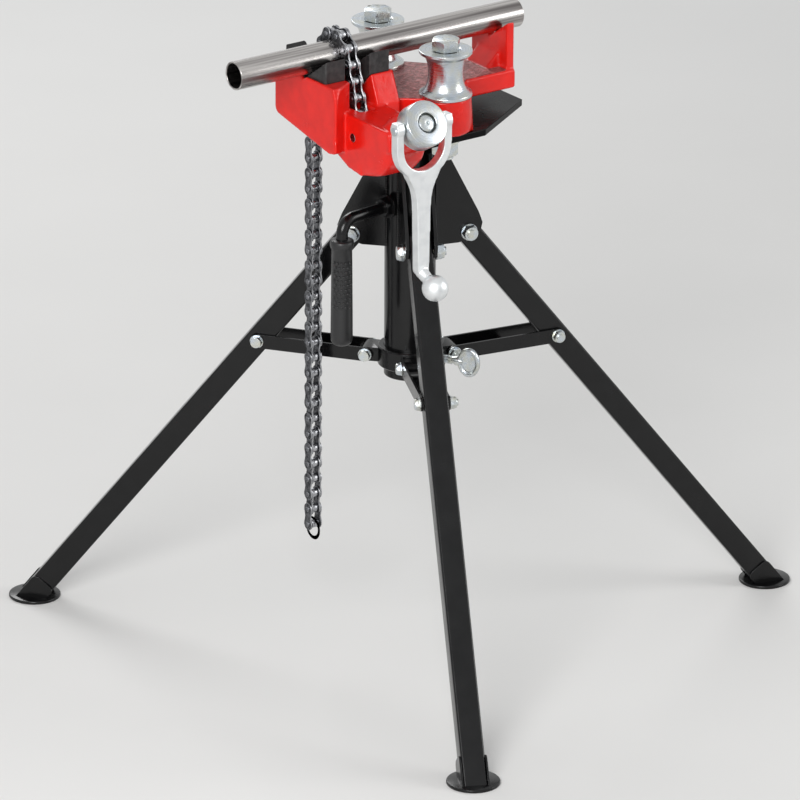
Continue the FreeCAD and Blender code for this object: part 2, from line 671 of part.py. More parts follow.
def casting(hook_pin):
    """Red cast vise body: jaw blocks, screw arm, roller deck and pipe rest in one piece."""
    lugs, notches = hook_lugs(hook_pin)
    body = fuse([cradle(), arm()] + deck() + pipe_rest() + lugs)
    for tool in arm_hollow() + notches:
        body = body.cut(tool)
    for side in (-1, 1):
        bore = rod(ROLLER_BOLT_D + 1, V(0, side * ROLLER_Y, PLATE_TOP - 1), Z_AXIS, DECK_H + 2)
        body = body.cut(bore)
    for x0, x1 in JAW_SPANS:
        start = V((x0 + x1) / 2.0, 0, PLATE_TOP + V_ROOT - 26)
        body = body.cut(rod(JAW_SCREW_D, start, Z_AXIS, 40.0))
    return body


def roller(side):
    """Grooved bending roller turning on its bolt."""
    bore = ROLLER_BOLT_D / 2.0 + PIN_GAP
    lip = 5.0
    throat = ROLLER_H - 2 * lip
    depth = ROLLER_R - ROLLER_WAIST - 3.0
    curve = []
    steps = 8
    for i in range(steps + 1):
        s = -1 + 2.0 * i / steps
        bulge = 1 - math.sqrt(max(0.0, 1 - s * s))
        curve.append((ROLLER_WAIST + depth * bulge, lip + throat * (s + 1) / 2))
    profile = [(bore, 0), (ROLLER_R - 1, 0), (ROLLER_R, 1), (ROLLER_R, lip - 1)] + curve
    profile += [(ROLLER_R, ROLLER_H - lip + 1), (ROLLER_R, ROLLER_H - 1), (ROLLER_R - 1, ROLLER_H),
                (bore, ROLLER_H)]
    centre = V(0, side * ROLLER_Y, PLATE_TOP + DECK_H + SEAT_GAP)
    return turned(profile, centre, Z_AXIS)


def roller_bolts():
    """Long hex bolts through roller, casting and plate, with washers and nuts below."""
    flats = ROLLER_BOLT_D * 1.5
    top = PLATE_TOP + DECK_H + ROLLER_H + 2 * SEAT_GAP
    bottom = PLATE_TOP - PLATE_T
    nut_h = 16.0
    solids = []
    for side in (-1, 1):
        y = side * ROLLER_Y
        low = bottom - 3 - nut_h - 6
        pieces = [rod(ROLLER_BOLT_D, V(0, y, low), Z_AXIS, top - low + 1),
                  hexagon(flats, V(0, y, top), Z_AXIS, 12.5),
                  rod(ROLLER_BOLT_D * 1.85, V(0, y, bottom - 3), Z_AXIS, 3.0),
                  hexagon(flats, V(0, y, bottom - 3), V(0, 0, -1), nut_h)]
        solids.append(fuse(pieces))
    return Part.makeCompound(solids)


def guide_pin():
    """Cross pin in the arm with the roller that turns the chain."""
    return rod(GUIDE_PIN_D, GUIDE - X_AXIS * (ARM_WIDTH / 2.0 - 0.8), X_AXIS, ARM_WIDTH - 1.6)


def guide_roller():
    half = LINK_GAP / 2.0 + LINK_T * 2 + 1
    chord = math.sqrt(GUIDE_TURN_R ** 2 - (PITCH / 2.0) ** 2)
    radius = chord - LINK_WAIST * LINK_H / 2.0 - 2 * SEAT_GAP
    bore = GUIDE_PIN_D / 2.0 + PIN_GAP
    profile = [(bore, -half), (radius, -half), (radius, half), (bore, half)]
    return turned(profile, GUIDE, X_AXIS)


def tension_screw():
    """Threaded draw screw with a domed centre-drilled end and a slotted eye for the chain."""
    r = SCREW_D / 2.0
    shank_end = ANCHOR_DEPTH - 12
    profile = [(0, 3.2), (3, 3.5), (7, 4.2), (r - 0.5, 6), (r, 7), (r, shank_end), (0, shank_end)]
    shank = turned(profile, NUT_FACE, SCREW_DIR * -1)
    centre_hole = Part.makeCone(1.8, 0.6, 5.0, on_screw(3), SCREW_DIR * -1)
    eye_half = LINK_GAP / 2.0 - 0.5
    across = LINK_H / 2.0
    tongue = Part.makeBox(2 * eye_half, 13, 2 * across)
    tongue.translate(V(-eye_half, 0, -across))
    tongue = tongue.fuse(rod(2 * across, V(-eye_half, 13, 0), X_AXIS, 2 * eye_half))
    slot_d = CHAIN_PIN_D + 2 * PIN_GAP
    slot = [rod(slot_d, V(-10, 13 + s, 0), X_AXIS, 20) for s in (-2.2, 2.2)]
    slot.append(box(-10, 10, 10.8, 15.2, -slot_d / 2.0, slot_d / 2.0))
    tongue = tongue.cut(fuse(slot))
    tongue.rotate(V(0, 0, 0), X_AXIS, -SCREW_TILT)
    tongue.translate(on_screw(ANCHOR_DEPTH - 13))
    return fuse([shank.cut(centre_hole), tongue])


def tension_nut():
    """Round nut with a deep recess in its face and two trunnions for the fork."""
    r = NUT_D / 2.0
    bore = SCREW_D / 2.0 + PIN_GAP
    recess = NUT_RECESS_D / 2.0
    profile = [(recess, 0), (r - 2.5, 0), (r, 2.5), (r, NUT_LEN - 2), (r - 2, NUT_LEN),
               (bore, NUT_LEN), (bore, 9), (recess, 9)]
    body = turned(profile, NUT_FACE, SCREW_DIR * -1)
    centre = on_screw(NUT_LEN / 2.0)
    pins = []
    for side in (-1, 1):
        axis = V(side, 0, 0)
        pins.append(rod(10.0, centre + axis * (r - 6), axis, FORK_ARM + 7))
    return fuse([body] + pins)


def thrust_washer():
    r = NUT_D / 2.0 - 3
    bore = SCREW_D / 2.0 + PIN_GAP
    profile = [(bore, 0), (r, 0), (r, WASHER_T - SEAT_GAP), (bore, WASHER_T - SEAT_GAP)]
    return turned(profile, on_screw(HUB_DEPTH), SCREW_DIR)


def fork_handle():
    """Forged fork: two arms on the nut's trunnions, a curved yoke, a bar and a ball end."""
    centre = on_screw(NUT_LEN / 2.0)
    inner = NUT_D / 2.0 + 1.2
    outer = inner + FORK_ARM
    crotch = -52.0
    join = -84.0
    end = -FORK_LEN + 17.0
    half_shaft = FORK_SHAFT_W / 2.0
    y0 = -FORK_DEPTH / 2.0
    depth = V(0, FORK_DEPTH, 0)

    def edge(ax, az, bx, bz, cx, cz):
        return Part.Arc(V(ax, y0, az), V(bx, y0, bz), V(cx, y0, cz)).toShape()

    def line(ax, az, bx, bz):
        return Part.LineSegment(V(ax, y0, az), V(bx, y0, bz)).toShape()

    left = [line(-outer, 8, -outer, -28),
            edge(-outer, -28, -outer + 8, -58, -half_shaft, join - 6),
            line(-half_shaft, join - 6, -half_shaft + 1.5, end)]
    foot_line = [line(-half_shaft + 1.5, end, half_shaft - 1.5, end)]
    right = [line(half_shaft - 1.5, end, half_shaft, join - 6),
             edge(half_shaft, join - 6, outer - 8, -58, outer, -28),
             line(outer, -28, outer, 8), line(outer, 8, inner, 8), line(inner, 8, inner, -24)]
    bow = [edge(inner, -24, 0, crotch, -inner, -24)]
    close = [line(-inner, -24, -inner, 8), line(-inner, 8, -outer, 8)]
    wire = Part.Wire(left + foot_line + right + bow + close)
    body = Part.Face(wire).extrude(depth)
    for side in (-1, 1):
        x0 = inner if side > 0 else -outer
        body = body.fuse(rod(18.0, V(x0, 0, 2), X_AXIS, FORK_ARM))
    bore = rod(10.0 + 2 * PIN_GAP, V(-outer - 1, 0, 0), X_AXIS, 2 * outer + 2)
    body = body.cut(bore)
    ball_centre = V(3, -24, -FORK_LEN)
    neck_start = V(0, -2, end + 4)
    neck = Part.makeCone(6.5, 5.0, 22.0, neck_start, ball_centre - neck_start)
    ball = Part.makeSphere(BALL_D / 2.0, ball_centre)
    handle = fuse([body, neck, ball])
    handle.translate(centre)
    return handle


def workpiece():
    tube = rod(PIPE_OD, V(PIPE_X0, 0, PLATE_TOP + PIPE_H), X_AXIS, PIPE_LEN)
    inner = rod(PIPE_OD - 2 * PIPE_WALL, V(PIPE_X0 - 1, 0, PLATE_TOP + PIPE_H), X_AXIS, PIPE_LEN + 2)
    return tube.cut(inner)


# --- chain ------------------------------------------------------------------------------
def tangent_heading(first, second):
    """Heading of the straight run between two turns; a turn is (y, z, signed radius)."""
    dy = second[0] - first[0]
    dz = second[1] - first[1]
    offset = second[2] - first[2]
    return math.atan2(dz, dy) - math.asin(offset / math.hypot(dy, dz))


def on_turn(turn, heading):
    """Point where a run with this heading touches the turn."""
    return (turn[0] + turn[2] * math.sin(heading), turn[1] - turn[2] * math.cos(heading))


def chain_route():
    """Centre line of the chain in the YZ plane as a list of (y, z) points."""
    wrap = PIPE_R + LINK_H / 2.0 + SEAT_GAP
    drop = TAIL_Y - 14.0
    anchor = on_screw(ANCHOR_DEPTH)
    turns = [(GUIDE.y, GUIDE.z, GUIDE_TURN_R), (0.0, PLATE_TOP + PIPE_H, -wrap),
             (drop, PLATE_TOP + HOOK_H, -(TAIL_Y - drop))]
    headings = [-TILT, tangent_heading(turns[0], turns[1]), tangent_heading(turns[1], turns[2]),
                -math.pi / 2.0]
    points = [(anchor.y, anchor.z)]
    steps = 60
    for i, turn in enumerate(turns):
        start, end = headings[i], headings[i + 1]
        for k in range(steps + 1):
            points.append(on_turn(turn, start + (end - start) * k / steps))
    last = points[-1]
    points.append((last[0], last[1] - PITCH * (SEGMENT_LINKS * TAIL_SEGMENTS + 8)))
    return points


def pins_on_route(points):
    """Step along the route so that neighbouring pins are exactly one pitch apart."""
    pins = [points[0]]
    for a, b in zip(points, points[1:]):
        while math.hypot(b[0] - pins[-1][0], b[1] - pins[-1][1]) >= PITCH:
            py, pz = pins[-1]
            dy, dz = b[0] - a[0], b[1] - a[1]
            fy, fz = a[0] - py, a[1] - pz
            qa = dy * dy + dz * dz
            qb = 2 * (fy * dy + fz * dz)
            qc = fy * fy + fz * fz - PITCH * PITCH
            t = (-qb + math.sqrt(qb * qb - 4 * qa * qc)) / (2 * qa)
            pins.append((a[0] + dy * t, a[1] + dz * t))
    return [V(CHAIN_X, y, z) for y, z in pins]


def link(first, second, outer, open_first):
    """Two side plates from pin to pin; a link on a hinge pin has open holes there."""
    run = second - first
    length = run.Length
    half = LINK_H / 2.0
    waist = half * LINK_WAIST
    outline = []
    for centre, base in ((0.0, 90), (length, -90)):
        for step in (0, 45, 90, 135, 180):
            angle = math.radians(base + step)
            outline.append((centre + half * math.cos(angle), half * math.sin(angle)))
        outline.append((length / 2.0, waist if base < 0 else -waist))
    x_in = LINK_GAP / 2.0 + (LINK_T + 0.1 if outer else 0.0)
    plates = []
    for x0 in (x_in, -x_in - LINK_T):
        plate = yz_prism(outline, x0, x0 + LINK_T)
        if open_first:
            plate = plate.cut(rod(CHAIN_PIN_D + 2 * PIN_GAP, V(x0 - 1, 0, 0), X_AXIS, LINK_T + 2))
        plate.rotate(V(0, 0, 0), X_AXIS, math.degrees(math.atan2(run.z, run.y)))
        plate.translate(first)
        plates.append(plate)
    return plates


def chain_pin(centre):
    half = LINK_GAP / 2.0 + 2 * LINK_T + 0.1 + PIN_HEAD
    return rod(CHAIN_PIN_D, centre - X_AXIS * half, X_AXIS, 2 * half)


def chain_piece(pins, first, last, hinged):
    """Links from pin first to pin last; a hinged piece hangs on the pin of the piece above."""
    solids = []
    for i in range(first, last):
        solids += link(pins[i], pins[i + 1], i % 2 == 1, hinged and i == first)
    for i in range(first + 1 if hinged else first, last + 1):
        solids.append(chain_pin(pins[i]))
    return fuse(solids)


def pull_ring(pin):
    """Steel ring that hangs on the last pin."""
    drop = RING_R - RING_WIRE / 2.0 - CHAIN_PIN_D / 2.0 - PIN_GAP
    return Part.makeTorus(RING_R, RING_WIRE / 2.0, pin - Z_AXIS * drop, X_AXIS)


def first_tail_pin(pins):
    """Index of the first pin on the straight drop, where the hook lugs catch the chain."""
    for i, pin in enumerate(pins):
        if abs(pin.y - TAIL_Y) < 0.6 and pin.z < PLATE_TOP + HOOK_H:
            return i
    return len(pins) - 1


def main():
    os.makedirs("parts", exist_ok=True)
    pins = pins_on_route(chain_route())
    hook = first_tail_pin(pins)
    write("column", column())
    write("leg_brackets", brackets())
    write("leg_pivot_bolts", pivot_bolts())
    write("rod_handle", rod_handle())
    write("handle_grip", grip())
    write("head_plate", plate())
    write("vise_casting", casting(pins[hook]))
    write("jaw_left", jaw_insert(LEFT_X0, LEFT_X1))
    write("jaw_right", jaw_insert(RIGHT_X0, RIGHT_X1))
    write("jaw_screws", insert_screws())
    write("roller_bolts", roller_bolts())
    write("guide_pin", guide_pin())
    write("guide_roller", guide_roller())
    write("thrust_washer", thrust_washer())
    write("roller_front", roller(-1))
    write("roller_rear", roller(1))
    write("tension_screw", tension_screw())
    write("tension_nut", tension_nut())
    write("fork_handle", fork_handle())
    write("pipe", workpiece())
    write("collar", collar())
    write("collar_bolts", collar_bolts())
    write("thumb_screw", thumb_screw())
    for name, azimuth, side in (("side", SIDE_AZ, 1), ("rear", REAR_AZ, 1), ("front", FRONT_AZ, -1)):
        write("leg_" + name, around(leg(), azimuth))
        write("foot_" + name, around(foot(), azimuth))
        write("brace_" + name, around(brace(), azimuth))
        write("brace_bolt_" + name, around(brace_bolt(side), azimuth))
    write("chain_wrap", chain_piece(pins, 0, hook, False))
    start = hook
    for segment in range(TAIL_SEGMENTS):
        end = start + SEGMENT_LINKS
        write("chain_tail_%d" % (segment + 1), chain_piece(pins, start, end, True))
        start = end
    write("pull_ring", pull_ring(pins[start]))


main()
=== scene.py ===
"""Tripod pipe vise stand: finishes, dressed parts, soft studio light and camera.

Lengths are in millimetres until a piece is finished. The origin is on the floor under the
column, +Z is up, +X runs along the pipe towards the pipe rest, the operator stands on -Y.
"""
import json
import logging
import math
from collections.abc import Callable, Iterable, Sequence
from dataclasses import dataclass, field
from enum import Enum
from typing import Any

import bmesh
import bpy
from mathutils import Matrix, Vector

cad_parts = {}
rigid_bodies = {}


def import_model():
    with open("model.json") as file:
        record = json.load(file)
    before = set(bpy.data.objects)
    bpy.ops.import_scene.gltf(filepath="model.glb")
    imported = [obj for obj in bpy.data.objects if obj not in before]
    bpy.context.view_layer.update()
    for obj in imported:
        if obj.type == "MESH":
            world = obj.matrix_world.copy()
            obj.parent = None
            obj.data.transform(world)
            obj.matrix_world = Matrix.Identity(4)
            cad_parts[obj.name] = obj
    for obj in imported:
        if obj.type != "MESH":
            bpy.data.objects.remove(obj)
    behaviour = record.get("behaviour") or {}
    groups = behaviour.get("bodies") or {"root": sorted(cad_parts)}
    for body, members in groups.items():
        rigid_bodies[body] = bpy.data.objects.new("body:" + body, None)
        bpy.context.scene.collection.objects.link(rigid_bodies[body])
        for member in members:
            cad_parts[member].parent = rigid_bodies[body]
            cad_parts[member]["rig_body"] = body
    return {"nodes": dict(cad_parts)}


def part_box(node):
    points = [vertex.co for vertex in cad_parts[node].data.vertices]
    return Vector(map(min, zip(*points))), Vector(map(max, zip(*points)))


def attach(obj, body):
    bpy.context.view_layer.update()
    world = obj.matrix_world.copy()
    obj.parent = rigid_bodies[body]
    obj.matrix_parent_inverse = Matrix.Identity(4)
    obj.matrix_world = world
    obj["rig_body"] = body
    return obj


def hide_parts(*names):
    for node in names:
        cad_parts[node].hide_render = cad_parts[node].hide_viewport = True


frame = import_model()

log = logging.getLogger("vise_stand")
MM = 0.001
# Colour that the world and the far floor share.
BACKDROP = "#dcdddd"
# Outside diameter and pitch of the thread on the roller bolts and on the draw screw.
COARSE_20 = (20.0, 2.5)
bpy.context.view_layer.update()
Socket = bpy.types.NodeSocket
Tree = bpy.types.NodeTree
Point = tuple[float, float, float]


class Slot(Enum):
    """Material slots of the record."""

    BLACK_ENAMEL = "black_enamel"
    RED_ENAMEL = "red_enamel"
    ZINC = "zinc_plate"
    FORGING = "bright_forging"
    PIPE = "stainless_pipe"
    CHAIN = "chain_steel"
    OXIDE = "black_oxide"
    RUBBER = "grip_rubber"


class Leg(Enum):
    """The three legs with their heading round the column, in degrees."""

    SIDE = ("side", -16.0)
    REAR = ("rear", 132.0)
    FRONT = ("front", 243.4)

    @property
    def label(self) -> str:
        """Name used in the nodes and bodies of this leg."""
        return self.value[0]

    @property
    def heading(self) -> float:
        """Heading round the column in radians."""
        return math.radians(self.value[1])


# --- colours and shader nodes -----------------------------------------------------------
def linear(code: str) -> tuple[float, float, float, float]:
    """Turns an sRGB hex colour into linear red, green and blue with full alpha."""
    parts = [int(code[i:i + 2], 16) / 255.0 for i in (1, 3, 5)]
    light = [c / 12.92 if c <= 0.04045 else ((c + 0.055) / 1.055) ** 2.4 for c in parts]
    return (light[0], light[1], light[2], 1.0)


def per(size: float) -> float:
    """Texture scale at which one feature is this many millimetres across."""
    return 1.0 / (size * MM)


def add(tree: Tree, kind: str, values: dict[Any, Any] | None = None,
        links: dict[Any, Socket] | None = None, **settings: Any) -> bpy.types.Node:
    """Adds one shader node with its settings, socket values and incoming links.

    Args:
        tree: Node tree that takes the node.
        kind: Blender's name for the node type.
        values: Constants by input name or number.
        links: Sockets that feed inputs, by input name or number.
        **settings: Properties set on the node itself.

    Returns:
        The new node.
    """
    node = tree.nodes.new(kind)
    for name, value in settings.items():
        setattr(node, name, value)
    for socket, value in (values or {}).items():
        node.inputs[socket].default_value = value
    for socket, source in (links or {}).items():
        tree.links.new(source, node.inputs[socket])
    return node


def spread(tree: Tree, source: Socket, low: float, high: float, to_low: float = 0.0,
           to_high: float = 1.0) -> Socket:
    """Stretches a value from one range to another.

    Args:
        tree: Node tree.
        source: Value that is stretched.
        low: Input value that gives to_low.
        high: Input value that gives to_high.
        to_low: Result at the low end.
        to_high: Result at the high end.

    Returns:
        The stretched value, kept inside its range.
    """
    values = {"From Min": low, "From Max": high, "To Min": to_low, "To Max": to_high}
    return add(tree, "ShaderNodeMapRange", values, {"Value": source}).outputs["Result"]


def blend(tree: Tree, amount: Socket, first: str, second: str) -> Socket:
    """Blends two hex colours by an amount from 0 to 1."""
    colours = {6: linear(first), 7: linear(second)}
    return add(tree, "ShaderNodeMix", colours, {"Factor": amount}, data_type="RGBA").outputs[2]


def mix(tree: Tree, amount: Socket, first: Socket, second: Socket) -> Socket:
    """Mixes two colours that come from other nodes by an amount from 0 to 1."""
    return add(tree, "ShaderNodeMix", None, {"Factor": amount, 6: first, 7: second},
               data_type="RGBA").outputs[2]


def noise(tree: Tree, position: Socket, size: float, detail: float = 3.0,
          rough: float = 0.5) -> Socket:
    """Cloudy noise whose features are this many millimetres across."""
    values = {"Scale": per(size), "Detail": detail, "Roughness": rough}
    return add(tree, "ShaderNodeTexNoise", values, {"Vector": position}).outputs["Fac"]


def bump(tree: Tree, height: Socket, depth: float, normal: Socket | None = None) -> Socket:
    """Raises a surface by a height field, depth being in millimetres."""
    links = {"Height": height}
    if normal is not None:
        links["Normal"] = normal
    values = {"Strength": 1.0, "Distance": depth * MM}
    return add(tree, "ShaderNodeBump", values, links).outputs["Normal"]


def combine(tree: Tree, first: Socket, second: Socket, operation: str = "MULTIPLY") -> Socket:
    """One value from two, multiplied unless another operation is named."""
    return add(tree, "ShaderNodeMath", None, {0: first, 1: second}, operation=operation).outputs[0]


def wear(tree: Tree, shader: bpy.types.Node, rough: Socket, tint: Socket, skin: Socket) -> None:
    """Feeds a shader its roughness, its colour and its bumped normal."""
    for socket, source in (("Roughness", rough), ("Base Color", tint), ("Normal", skin)):
        tree.links.new(source, shader.inputs[socket])


@dataclass(frozen=True)
class Finish:
    """What every finish shares: a Principled shader fed from object coordinates."""

    name: str
    slot: Slot | None
    colour: str
    roughness: float
    metallic: float = 0.0
    ior: float = 1.5
    specular: float = 0.5

    def make(self) -> bpy.types.Material:
        """Builds the material."""
        material = bpy.data.materials.new(self.name)
        material.use_nodes = True
        tree = material.node_tree
        tree.nodes.clear()
        values = {"Base Color": linear(self.colour), "Roughness": self.roughness,
                  "Metallic": self.metallic, "IOR": self.ior,
                  "Specular IOR Level": self.specular}
        shader = add(tree, "ShaderNodeBsdfPrincipled", values)
        place = add(tree, "ShaderNodeTexCoord").outputs["Object"]
        self.dress(tree, shader, place)
        add(tree, "ShaderNodeOutputMaterial", None, {"Surface": self.surface(tree, shader, place)})
        return material

    def surface(self, tree: Tree, shader: bpy.types.Node, place: Socket) -> Socket:
        """What the surface shows: the shader itself, unless a finish adds to it."""
        return shader.outputs["BSDF"]

    def uneven(self, tree: Tree, pattern: Socket, duller: float, glossier: float) -> Socket:
        """Roughness that a pattern moves up by duller and down by glossier."""
        return spread(tree, pattern, 0.3, 0.7, self.roughness - glossier, self.roughness + duller)

    def dress(self, tree: Tree, shader: bpy.types.Node, place: Socket) -> None:
        """Adds the pattern of the finish to the shader."""
        raise NotImplementedError


@dataclass(frozen=True)
class BakedEnamel(Finish):
    """Gloss black stoving enamel sprayed on steel tube and plate.

    Spraying leaves a faint orange peel, so reflections of a softbox have a slightly uneven
    edge, and handling leaves patches that are a little duller.
    """

    peel: float = 2.6
    peel_depth: float = 0.035
    patch: float = 45.0

    def dress(self, tree: Tree, shader: bpy.types.Node, place: Socket) -> None:
        """Orange peel, handled patches and a trace of dust in the colour."""
        patches = noise(tree, place, self.patch, 4.0)
        rough = self.uneven(tree, patches, 0.09, 0.05)
        tint = blend(tree, spread(tree, noise(tree, place, 14.0), 0.35, 0.75), self.colour, "#0d0d0e")
        skin = bump(tree, noise(tree, place, self.peel, 1.0), self.peel_depth)
        wear(tree, shader, rough, tint, skin)


@dataclass(frozen=True)
class CastEnamel(Finish):
    """Gloss red enamel over a sand-cast iron body.

    The fettled sides are smooth with a slow wave in the gloss. The unworked deck keeps the
    sand's coarse grain, and its upward faces are painted paler as a sheen, with painted glints
    on the grain over painted shade.
    """

    deck_height: float = 689.0
    deck_edge: float = -58.0
    # Pale pink of the deck: a painted sheen and painted glints on the grain; the darker red below is painted
    # shade between the glints.
    deck_sheen_colour: str = "#cf8380"
    deck_shade: str = "#742426"
    shade: str = "#cf1912"
    deck_roughness: float = 0.3
    grain: float = 4.4
    grain_depth: float = 2.6

    def dress(self, tree: Tree, shader: bpy.types.Node, place: Socket) -> None:
        """Grainy deck with a painted sheen and painted glints, smooth wavy sides and uneven gloss."""
        deck = self.deck(tree, place)
        sand = noise(tree, place, self.grain, 3.0, 0.7)
        sides = blend(tree, spread(tree, noise(tree, place, 18.0, 3.0), 0.35, 0.8), self.colour, self.shade)
        # Painted glints on the sand grain over painted shade; on the upward deck faces this reads as a
        # painted sheen.
        painted_glints = blend(tree, spread(tree, sand, 0.4, 0.68), self.deck_shade, self.deck_sheen_colour)
        tint = mix(tree, deck, sides, painted_glints)
        skin = bump(tree, noise(tree, place, 7.0, 2.0), 0.16)
        skin = bump(tree, combine(tree, sand, deck), self.grain_depth, skin)
        gloss = self.uneven(tree, noise(tree, place, 22.0, 4.0), 0.08, 0.04)
        rough = add(tree, "ShaderNodeMix", {3: self.deck_roughness}, {"Factor": deck, 2: gloss}).outputs[0]
        wear(tree, shader, rough, tint, skin)

    def deck(self, tree: Tree, place: Socket) -> Socket:
        """Mask of the level top between the rollers, which takes the painted sheen and glints.

        Args:
            tree: Node tree.
            place: Object coordinates.

        Returns:
            1 on the deck, 0 elsewhere.
        """
        axes = add(tree, "ShaderNodeSeparateXYZ", None, {"Vector": place}).outputs
        height = axes["Z"]
        inside = spread(tree, axes["X"], self.deck_edge * MM, (self.deck_edge + 3) * MM)
        above = spread(tree, height, (self.deck_height - 3.5) * MM, (self.deck_height - 1.5) * MM)
        below = spread(tree, height, (self.deck_height + 2) * MM, (self.deck_height + 5) * MM, 1.0, 0.0)
        facing = add(tree, "ShaderNodeNewGeometry").outputs["Normal"]
        upward = add(tree, "ShaderNodeSeparateXYZ", None, {"Vector": facing}).outputs["Z"]
        band = combine(tree, above, combine(tree, below, inside))
        return combine(tree, band, spread(tree, upward, 0.75, 0.95))


@dataclass(frozen=True)
class ZincPlate(Finish):
    """Bright zinc electroplate, clear passivated, on turned and cold-headed steel.

    The plating is bluish with faint straw-coloured clouds, and it is a little grainy, so
    highlights are soft and not mirror sharp.
    """

    cloud: float = 9.0

    def dress(self, tree: Tree, shader: bpy.types.Node, place: Socket) -> None:
        """Passivation clouds, plating grain and uneven gloss."""
        clouds = spread(tree, noise(tree, place, self.cloud, 3.0), 0.35, 0.7)
        tint = blend(tree, clouds, self.colour, "#cfcfc4")
        rough = self.uneven(tree, noise(tree, place, 3.0, 4.0), 0.1, 0.06)
        skin = bump(tree, noise(tree, place, 0.9, 2.0), 0.02)
        wear(tree, shader, rough, tint, skin)


@dataclass(frozen=True)
class TurnedZinc(Finish):
    """Zinc plate over a lathe-turned surface.

    The tool leaves fine rings round the axis that the thin plating doesn't hide, so the
    highlight stretches across the rings in streaks.
    """

    centre: Point = (0.0, 0.0, 0.0)
    tilt: float = 0.0
    feed: float = 0.9

    def dress(self, tree: Tree, shader: bpy.types.Node, place: Socket) -> None:
        """Tool rings from the distance to the axis and along it. Drawn wider than the real feed."""
        home = add(tree, "ShaderNodeMapping", {"Location": [-c * MM for c in self.centre]},
                   {"Vector": place}).outputs["Vector"]
        turned = add(tree, "ShaderNodeMapping", {"Rotation": (-self.tilt, 0.0, 0.0)},
                     {"Vector": home}).outputs["Vector"]
        axes = add(tree, "ShaderNodeSeparateXYZ", None, {"Vector": turned})
        across = add(tree, "ShaderNodeCombineXYZ", None, {"X": axes.outputs["X"], "Y": axes.outputs["Y"]})
        radius = add(tree, "ShaderNodeVectorMath", None, {0: across.outputs[0]}, operation="LENGTH")
        rings = add(tree, "ShaderNodeCombineXYZ", None,
                    {"X": radius.outputs["Value"], "Y": axes.outputs["Z"]}).outputs[0]
        marks = noise(tree, rings, self.feed, 3.0, 0.7)
        clouds = spread(tree, noise(tree, place, 10.0), 0.35, 0.75)
        tint = blend(tree, clouds, self.colour, "#cdcdc3")
        rough = self.uneven(tree, marks, 0.12, 0.06)
        skin = bump(tree, marks, 0.05)
        wear(tree, shader, rough, tint, skin)


@dataclass(frozen=True)
class BrightForging(Finish):
    """Drop-forged steel, tumbled smooth and chrome plated.

    The forging die leaves broad shallow waves under the bright plating, so reflections
    bend, and tumbling leaves fine satin specks.
    """

    wave: float = 16.0

    def dress(self, tree: Tree, shader: bpy.types.Node, place: Socket) -> None:
        """Forging waves, tumbled specks and faint grey clouds."""
        skin = bump(tree, noise(tree, place, self.wave, 1.0), 0.22)
        skin = bump(tree, noise(tree, place, 1.1, 2.0), 0.02, skin)
        tint = blend(tree, spread(tree, noise(tree, place, 12.0, 4.0), 0.45, 0.85), self.colour, "#dcdfe1")
        rough = self.uneven(tree, noise(tree, place, 4.0, 4.0), 0.08, 0.05)
        wear(tree, shader, rough, tint, skin)


@dataclass(frozen=True)
class PolishedPipe(Finish):
    """Seam-welded stainless tube, belt polished along its length.

    Long fine belt lines run with the pipe, so highlights stay crisp along it and soften
    round it, and darker and brighter stripes along it are painted reflections of the surroundings.
    """

    line: float = 0.8
    run: float = 120.0
    # Width of the painted reflection stripes round the pipe.
    reflection_stripe: float = 7.0

    def dress(self, tree: Tree, shader: bpy.types.Node, place: Socket) -> None:
        """Belt lines along the pipe and painted reflection stripes. The lines are drawn wider than the real
        grit so that they show.
        """
        along = add(tree, "ShaderNodeMapping", {"Scale": (self.line / self.run, 1.0, 1.0)},
                    {"Vector": place}).outputs["Vector"]
        far = add(tree, "ShaderNodeMapping", {"Scale": (0.02, 1.0, 1.0)}, {"Vector": place})
        lines = noise(tree, along, self.line, 3.0, 0.6)
        # Darker and brighter stripes along the pipe: painted reflections.
        painted_reflections = noise(tree, far.outputs["Vector"], self.reflection_stripe, 2.0, 0.6)
        tint = blend(tree, spread(tree, painted_reflections, 0.38, 0.66), self.colour, "#7b7675")
        rough = self.uneven(tree, lines, 0.09, 0.05)
        skin = bump(tree, lines, 0.02)
        wear(tree, shader, rough, tint, skin)


@dataclass(frozen=True)
class OiledChain(Finish):
    """Heat-treated carbon steel chain, blanked plates, tumbled and oiled.

    Oil darkens the flat sides of the plates in blotches. The blanked edges rub on the jaws
    and on each other, so they are worn to bright steel, and the bright edges also carry a painted highlight.
    """

    blotch: float = 5.0
    worn: str = "#77787c"
    # Bright colour of the edges and pin sides: rubbed steel, and a painted highlight.
    edge: str = "#c2c3c6"

    def dress(self, tree: Tree, shader: bpy.types.Node, place: Socket) -> None:
        """Oil blotches on the sides; edges painted bright as rubbed steel and as a highlight."""
        facing = add(tree, "ShaderNodeTexCoord").outputs["Normal"]
        across = add(tree, "ShaderNodeSeparateXYZ", None, {"Vector": facing}).outputs["X"]
        flat = add(tree, "ShaderNodeMath", None, {0: across}, operation="ABSOLUTE").outputs[0]
        oil = noise(tree, place, self.blotch, 4.0, 0.6)
        side = blend(tree, spread(tree, oil, 0.38, 0.62), self.colour, self.worn)
        # Edges and pin sides painted bright: worn steel and a painted highlight.
        rubbed_and_highlit = blend(tree, spread(tree, oil, 0.35, 0.7), self.edge, self.worn)
        worn_and_highlit_edges = spread(tree, flat, 0.55, 0.92, 1.0, 0.0)
        tint = mix(tree, worn_and_highlit_edges, side, rubbed_and_highlit)
        rough = self.uneven(tree, noise(tree, place, 2.0, 3.0), 0.12, 0.08)
        skin = bump(tree, noise(tree, place, 0.8, 2.0), 0.05)
        wear(tree, shader, rough, tint, skin)


